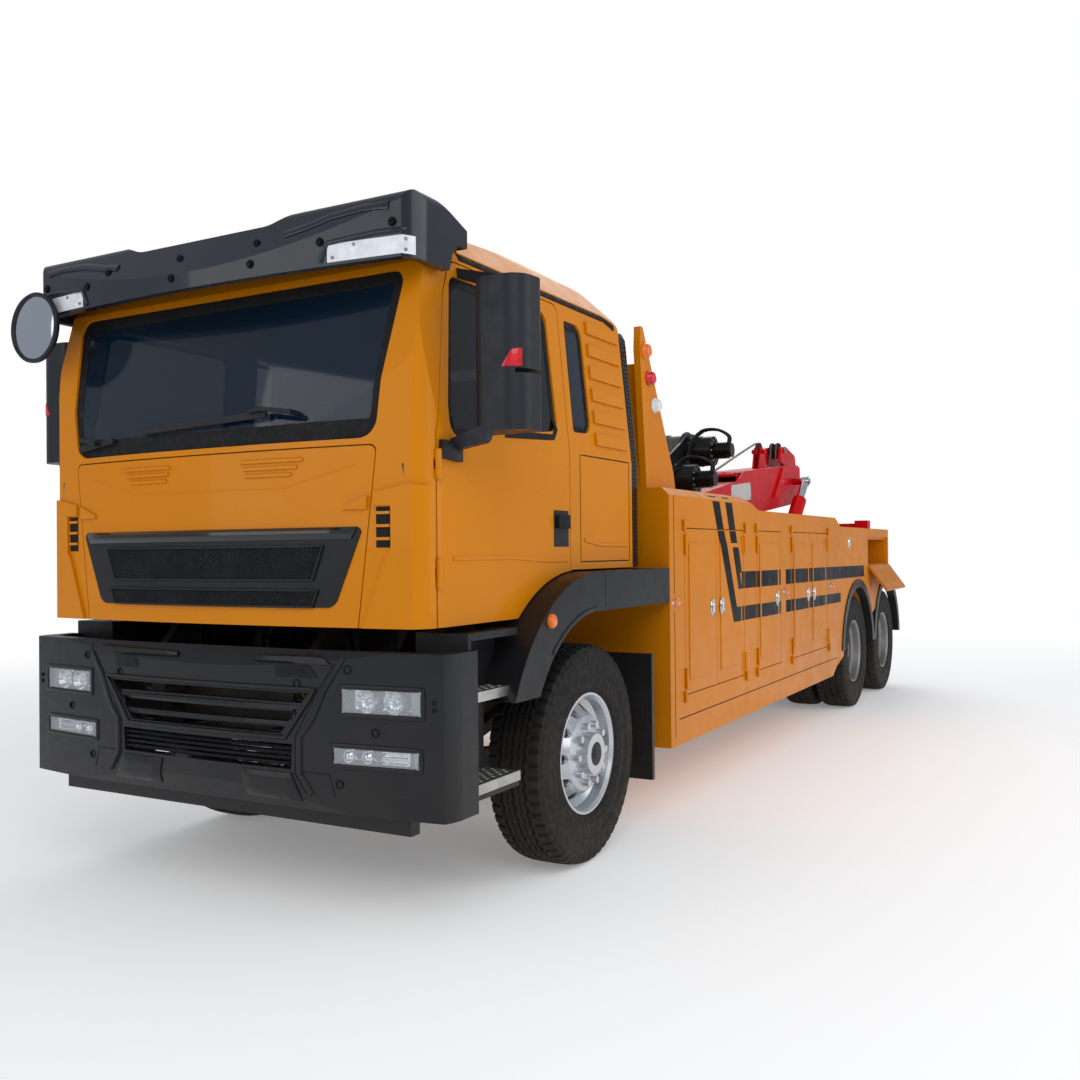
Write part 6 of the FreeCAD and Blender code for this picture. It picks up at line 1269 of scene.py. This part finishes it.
# ---------------------------------------------------------------- boom
# A red painted welded box boom with its extension, wire ropes over cast sheaves, a blank white sign
# plate riveted to each side, and chromed cylinder rods.
boom_red = finish("boom_red", (205, 0, 14), 0.34, coat=0.08, cloud=(0.10, 0.5), grain=(0.2, 0.008),
                  shine=0.12)
rod_bright = finish("rod_bright", (205, 208, 210), 0.10, metal=1.0, cloud=(0.04, 0.2))
sign_white = finish("sign_white", (206, 208, 206), 0.35, cloud=(0.06, 0.3), dust=0.15)
dress(boom_red, "boom", "boom_extension", "lift_barrels", "underlift_arm", "underlift_extension",
      "underlift_crossbar")
dress(rod_bright, "lift_rods")
BOOM_PIVOT = (4.450, 1.880)
BOOM_SLOPE = math.radians(5.5)


def stowed(y, z):
    """Where a point of the level boom lies with the boom stowed."""
    away, up = y - BOOM_PIVOT[0], z - BOOM_PIVOT[1]
    return (BOOM_PIVOT[0] + away * math.cos(BOOM_SLOPE) - up * math.sin(BOOM_SLOPE),
            BOOM_PIVOT[1] + away * math.sin(BOOM_SLOPE) + up * math.cos(BOOM_SLOPE))


boom_skin = skin("boom")
RIVET = ((0.002, 0.008), (0.006, 0.007), (0.008, 0.003))
for side, sign in SIDES:
    plate = [stowed(y, z) for y, z in ((5.02, 1.93), (5.62, 1.93), (5.62, 2.10), (5.02, 2.10))]
    patch(f"sign_plate_{side}", boom_skin, [(side, plate, (4, 2), 0.003, 0.002, 0.001)], sign_white, "boom")
    rivets = []
    for y, z in ((5.04, 1.945), (5.60, 1.945), (5.60, 2.085), (5.04, 2.085)):
        rivets.append((RIVET, spot_on(boom_skin, side, *stowed(y, z)), 10, sign))
    turned_set(f"sign_rivets_{side}", rivets, zinc_steel, "boom")
ROPE_RADIUS = 0.0075
# (y, z) along each run with the boom level
FORE_RUN = ((4.560, 2.130), (5.20, 2.225), (6.00, 2.375), (6.56, 2.475), (6.70, 2.492), (6.80, 2.488),
            (6.848, 2.440), (6.860, 2.360), (6.862, 2.215))
HEAD_RUN = ((7.240, 2.180), (7.290, 2.330), (7.320, 2.430), (7.36, 2.480), (7.44, 2.475), (7.480, 2.430),
            (7.490, 2.38), (7.490, 2.22))
boom_ropes = [([(x, *stowed(*spot)) for spot in FORE_RUN], ROPE_RADIUS) for x in (-0.009, 0.009)]
tubes("boom_ropes", boom_ropes, wire_rope, "boom")
head_ropes = []
for x in (-0.032, 0.032):
    head_ropes.append(([(x, *stowed(*spot)) for spot in HEAD_RUN], ROPE_RADIUS))
    eye_y, eye_z = stowed(7.490, 2.19)
    hook = ((x, eye_y, eye_z + 0.030), (x, eye_y, eye_z), (x, eye_y + 0.026, eye_z - 0.026),
            (x, eye_y + 0.018, eye_z - 0.062), (x, eye_y - 0.014, eye_z - 0.066),
            (x, eye_y - 0.028, eye_z - 0.040))
    head_ropes.append((hook, 0.011))
tubes("head_ropes", head_ropes, wire_rope, "boom_extension")
GROOVE = ((-0.020, 0.030), (-0.020, 0.088), (-0.012, 0.090), (-0.004, 0.078), (0.004, 0.078), (0.012, 0.090),
          (0.020, 0.088), (0.020, 0.030))
PIN_CAP = ((0.0, 0.024), (0.004, 0.030), (0.012, 0.030), (0.016, 0.022), (0.017, 0.004))
turned_set("fore_sheave_rim", [(GROOVE, (0, *stowed(6.760, 2.400)), 40, 1)], cast_iron, "boom")
head_y, head_z = stowed(7.398, 2.393)
head_rims = [(GROOVE, (sign * 0.032, head_y, head_z), 40, 1) for sign in (-1, 1)]
turned_set("head_sheave_rims", head_rims, cast_iron, "boom_extension")
pin_caps = [(PIN_CAP, (sign * 0.103, head_y, head_z), 20, sign) for sign in (-1, 1)]
turned_set("head_pin_caps", pin_caps, zinc_steel, "boom_extension")

# ---------------------------------------------------------------- cab interior
# Fabric covered seats on dark pedestals, a moulded dashboard with a hooded instrument panel, and a
# four-spoke steering wheel on the left.
seat_cloth = finish("seat_cloth", (58, 60, 64), 0.88, cloud=(0.16, 0.05), grain=(0.5, 0.0015))
trim_grey = finish("trim_grey", (66, 67, 70), 0.62, cloud=(0.08, 0.4), grain=(0.25, 0.002))
trim_black = finish("trim_black", (26, 26, 28), 0.55, cloud=(0.08, 0.3), grain=(0.2, 0.002))
SQUARENESS = 0.4


def squared(value):
    """A sine or cosine, pushed out so that its circle becomes a rounded square."""
    return math.copysign(abs(value) ** SQUARENESS, value)


def cushion(middle, half, lean, channels, points, faces):
    """A crowned pad: a rounded box with stitched channels along it, leaning back by an angle."""
    start = len(points)
    rows, columns = 26, 56
    for i in range(rows + 1):
        lat = math.pi * (i / rows - 0.5)
        for j in range(columns):
            lon = 2 * math.pi * j / columns
            level = math.cos(lat) ** SQUARENESS if 0 < i < rows else 0.0
            parts = (level * squared(math.cos(lon)), level * squared(math.sin(lon)), squared(math.sin(lat)))
            x, y, z = (parts[k] * half[k] for k in (0, 1, 2))
            seam = max(0.0, 1 - abs(math.sin(math.pi * channels * (parts[0] + 1) / 2)) * 7) * 0.010
            shrink = 1 - seam / max(half[1], half[2])
            y, z = y * shrink, z * shrink
            points.append((middle[0] + x, middle[1] + y * math.cos(lean) + z * math.sin(lean),
                           middle[2] - y * math.sin(lean) + z * math.cos(lean)))
    faces += grid_faces(rows + 1, columns, closed_columns=True, start=start)


for side, sign in SIDES:
    seat_x = sign * 0.600
    pads = (
        # name, middle, half sizes, lean back, number of channels
        ("seat_cushion", (seat_x, -0.230, 1.712), (0.250, 0.245, 0.070), 0.0, 4),
        ("seat_back", (seat_x, 0.045, 2.040), (0.235, 0.052, 0.280), 0.17, 4),
        ("seat_headrest", (seat_x, 0.115, 2.355), (0.130, 0.045, 0.055), 0.17, 1),
    )
    for name, middle, half, lean, channels in pads:
        points, faces = [], []
        cushion(middle, half, lean, channels, points, faces)
        piece(f"{name}_{side}", points, faces, seat_cloth, "cab", 70)
    points, faces = [], []
    slab_box((seat_x - 0.140, -0.420, 1.400), (seat_x + 0.140, -0.060, 1.648), points, faces)
    slab_box((seat_x - 0.165, -0.440, 1.600), (seat_x + 0.165, -0.040, 1.650), points, faces)
    piece(f"seat_base_{side}", points, faces, trim_black, "cab")
DASH_SECTION = ((-1.325, 1.57), (-1.330, 1.90), (-1.290, 1.965), (-1.120, 1.985), (-0.990, 1.978),
                (-0.925, 1.935), (-0.905, 1.840), (-0.925, 1.710), (-0.960, 1.570))
DASH_END = 1.025
WHEEL_X = 0.600
points, faces = [], []
columns = 40
for column in range(columns + 1):
    x = -DASH_END + 2 * DASH_END * column / columns
    hood = math.exp(-(((x - WHEEL_X) / 0.22) ** 2))
    for y, z in DASH_SECTION:
        reach = 0.025 * x * x
        points.append((x, y + reach if y < -1.1 else y, z + (0.012 * hood if z > 1.93 else 0.0)))
faces += capped_faces(columns + 1, len(DASH_SECTION))
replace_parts(piece("dashboard", points, faces, trim_grey, "cab", 40), "cab_fittings")
points, faces = [], []
WHEEL_CENTRE = Vector((WHEEL_X, -0.930, 2.010))
WHEEL_TILT = math.radians(28)


def on_wheel(radius, angle):
    """A point of the tilted steering wheel."""
    level, upright = radius * math.cos(angle), radius * math.sin(angle)
    return WHEEL_CENTRE + Vector((level, upright * math.cos(WHEEL_TILT), upright * math.sin(WHEEL_TILT)))


tube([on_wheel(0.210, 2 * math.pi * k / 36) for k in range(37)], 0.014, points, faces, rounds=1, ends=False)
for k in range(4):
    angle = math.pi * (0.12 + 0.5 * k)
    tube([on_wheel(0.04, angle), on_wheel(0.12, angle), on_wheel(0.208, angle)], 0.010, points, faces)
tube([on_wheel(0.0, 0.0), (WHEEL_X, -0.985, 1.930), (WHEEL_X, -1.100, 1.780)], 0.040, points, faces, steps=16)
piece("steering_wheel", points, faces, trim_black, "cab", 60)

# ---------------------------------------------------------------- front mirror and ducts
# A round convex mirror in a black plastic shell hangs from the visor on a bent steel rod; perforated
# black moulded air ducts stand against the cab's back edges.
DISH_CENTRE = (-1.060, -1.446, 2.645)
SHELL = ((0.016, 0.148), (0.002, 0.156), (0.002, 0.164), (0.010, 0.170), (0.026, 0.168), (0.038, 0.140),
         (0.044, 0.080), (0.045, 0.010))
GLASS = ((0.016, 0.150), (0.012, 0.149), (0.008, 0.110), (0.005, 0.060), (0.004, 0.008))
for name, profile, surface in (("shell", SHELL, mirror_black), ("glass", GLASS, mirror_glass)):
    turned_set(f"front_mirror_{name}", [(profile, DISH_CENTRE, 48, 1)], surface, "cab", "y", 60)
arm = ((-1.060, -1.405, 2.660), (-1.058, -1.400, 2.720), (-1.060, -1.402, 2.785), (-1.060, -1.385, 2.806),
       (-1.060, -1.345, 2.806))
tubes("front_mirror_arm", [(arm, 0.011)], mirror_black, "cab")
DUCT_OUTLINE = ((1.452, 1.012, 1.116), (2.030, 1.012, 1.116), (2.735, 0.946, 1.052), (2.775, 0.942, 1.030))
DUCT_FRONT = 0.701
DUCT_REAR = 0.792
points, faces = [], []
holes, hole_faces = [], []
for side, sign in SIDES:
    start = len(points)
    for z, inner, outer in DUCT_OUTLINE:
        trim = 0.008
        for x, y in ((inner, DUCT_FRONT), (outer - trim, DUCT_FRONT), (outer, DUCT_FRONT + trim),
                     (outer, DUCT_REAR - trim), (outer - trim, DUCT_REAR), (inner, DUCT_REAR)):
            points.append((sign * x, y, z))
    faces += capped_faces(len(DUCT_OUTLINE), 6, start)
    # each perforation is drawn as a small gloss black disc on the duct face: painted shade standing for the
    # hole
    for row in range(52):
        z = 1.480 + 0.0238 * row
        outer = 1.116 if z < 2.030 else 1.116 - 0.064 * (z - 2.030) / 0.705
        for column in range(3):
            y = DUCT_FRONT + 0.022 + 0.024 * column
            first = len(holes)
            for off, radius in ((0.0035, 0.0085), (-0.002, 0.0100)):
                for level, upright in circle(8):
                    holes.append((sign * (outer + off), y + radius * level, z + radius * upright))
            hole_faces += grid_faces(2, 8, closed_columns=True, start=first)
            hole_faces.append(tuple(range(first, first + 8)))
piece("air_ducts", points, faces, black_moulding, "cab", 40)
# gloss black discs: painted shade of the duct holes
piece("duct_hole_shades", holes, hole_faces, gloss_black, "cab", 40)

# ---------------------------------------------------------------- under the cab
# A finned radiator with moulded tanks stands ahead of the engine with its hoses and two air pipes;
# rubber boots cover the cab's tilting lugs.
radiator_black = finish("radiator_black", (17, 17, 18), 0.55, metal=0.2, cloud=(0.14, 0.2),
                        grain=(0.3, 0.004), dust=0.25)
RADIATOR_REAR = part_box("engine")[0].y - AXLE - 0.012
RADIATOR_FRONT = RADIATOR_REAR - 0.055
points, faces = [], []
# the two tanks and the two side frames: x low, x high, z low, z high, how far they stand proud
for x_low, x_high, z_low, z_high, proud in ((-0.405, 0.405, 0.700, 0.760, 0.020),
                                            (-0.405, 0.405, 1.165, 1.232, 0.020),
                                            (-0.405, -0.375, 0.760, 1.165, 0.012),
                                            (0.375, 0.405, 0.760, 1.165, 0.012)):
    slab_box((x_low, RADIATOR_FRONT - proud, z_low), (x_high, RADIATOR_REAR, z_high), points, faces)
slab_box((-0.375, RADIATOR_FRONT + 0.012, 0.760), (0.375, RADIATOR_REAR - 0.008, 1.165), points, faces)
FINS = 60
for k in range(FINS):
    x = -0.370 + 0.740 * k / (FINS - 1)
    slab_box((x - 0.0015, RADIATOR_FRONT, 0.762), (x + 0.0015, RADIATOR_FRONT + 0.016, 1.163), points, faces)
piece("radiator", points, faces, radiator_black, "truck", 20)
HOSE_FRONT = RADIATOR_FRONT - 0.055
# (x, y from HOSE_FRONT, z) along the coolant hose and the air pipe, and each one's radius
PIPE_RUNS = (
    (((0.300, 0.04, 1.195), (0.300, 0.0, 1.190), (0.315, -0.02, 1.150), (0.330, -0.02, 1.060),
      (0.325, 0.01, 0.960), (0.300, 0.03, 0.900)), 0.026),
    (((0.10, 0.03, 1.215), (0.12, -0.02, 1.205), (0.20, -0.03, 1.200), (0.26, -0.03, 1.120),
      (0.26, 0.0, 0.98)), 0.012),
)
pipes = []
for sign in (-1, 1):
    pipes += [([(sign * x, HOSE_FRONT + y, z) for x, y, z in run], radius) for run, radius in PIPE_RUNS]
tubes("radiator_hoses", pipes, hose_black, "truck")
points, faces = [], []
TILT_PIN = (-1.250, 0.960)
BOOT_RING = ((0.4345, 0.0424), (0.4345, 0.0450), (0.4795, 0.0450), (0.4795, 0.0424))
BOOT = ((-1.294, 1.010), (-1.140, 1.010), (-0.958, 1.2395), (-1.100, 1.2395))
for sign in (-1, 1):
    start = len(points)
    for x in (0.4345, 0.4775):
        points += [(sign * x, y, z) for y, z in BOOT]
    faces += capped_faces(2, 4, start)
    start = len(points)
    for level, upright in circle(28):
        for x, radius in BOOT_RING:
            points.append((sign * x, TILT_PIN[0] + radius * level, TILT_PIN[1] + radius * upright))
    faces += grid_faces(28, 4, closed_rows=True, closed_columns=True, start=start)
piece("lug_boots", points, faces, hose_black, "cab", 30)
points, faces = [], []
for sign in (-1, 1):
    ends = span(sign, 0.490, 0.496)
    slab_box((ends[0], -0.930, 0.985), (ends[1], -0.150, 1.234), points, faces)
    for k in range(4):
        y = -0.880 + 0.220 * k
        ribs = span(sign, 0.490, 0.504)
        slab_box((ribs[0], y, 0.990), (ribs[1], y + 0.020, 1.228), points, faces)
piece("splash_panels", points, faces, black_rubber, "truck", 30)
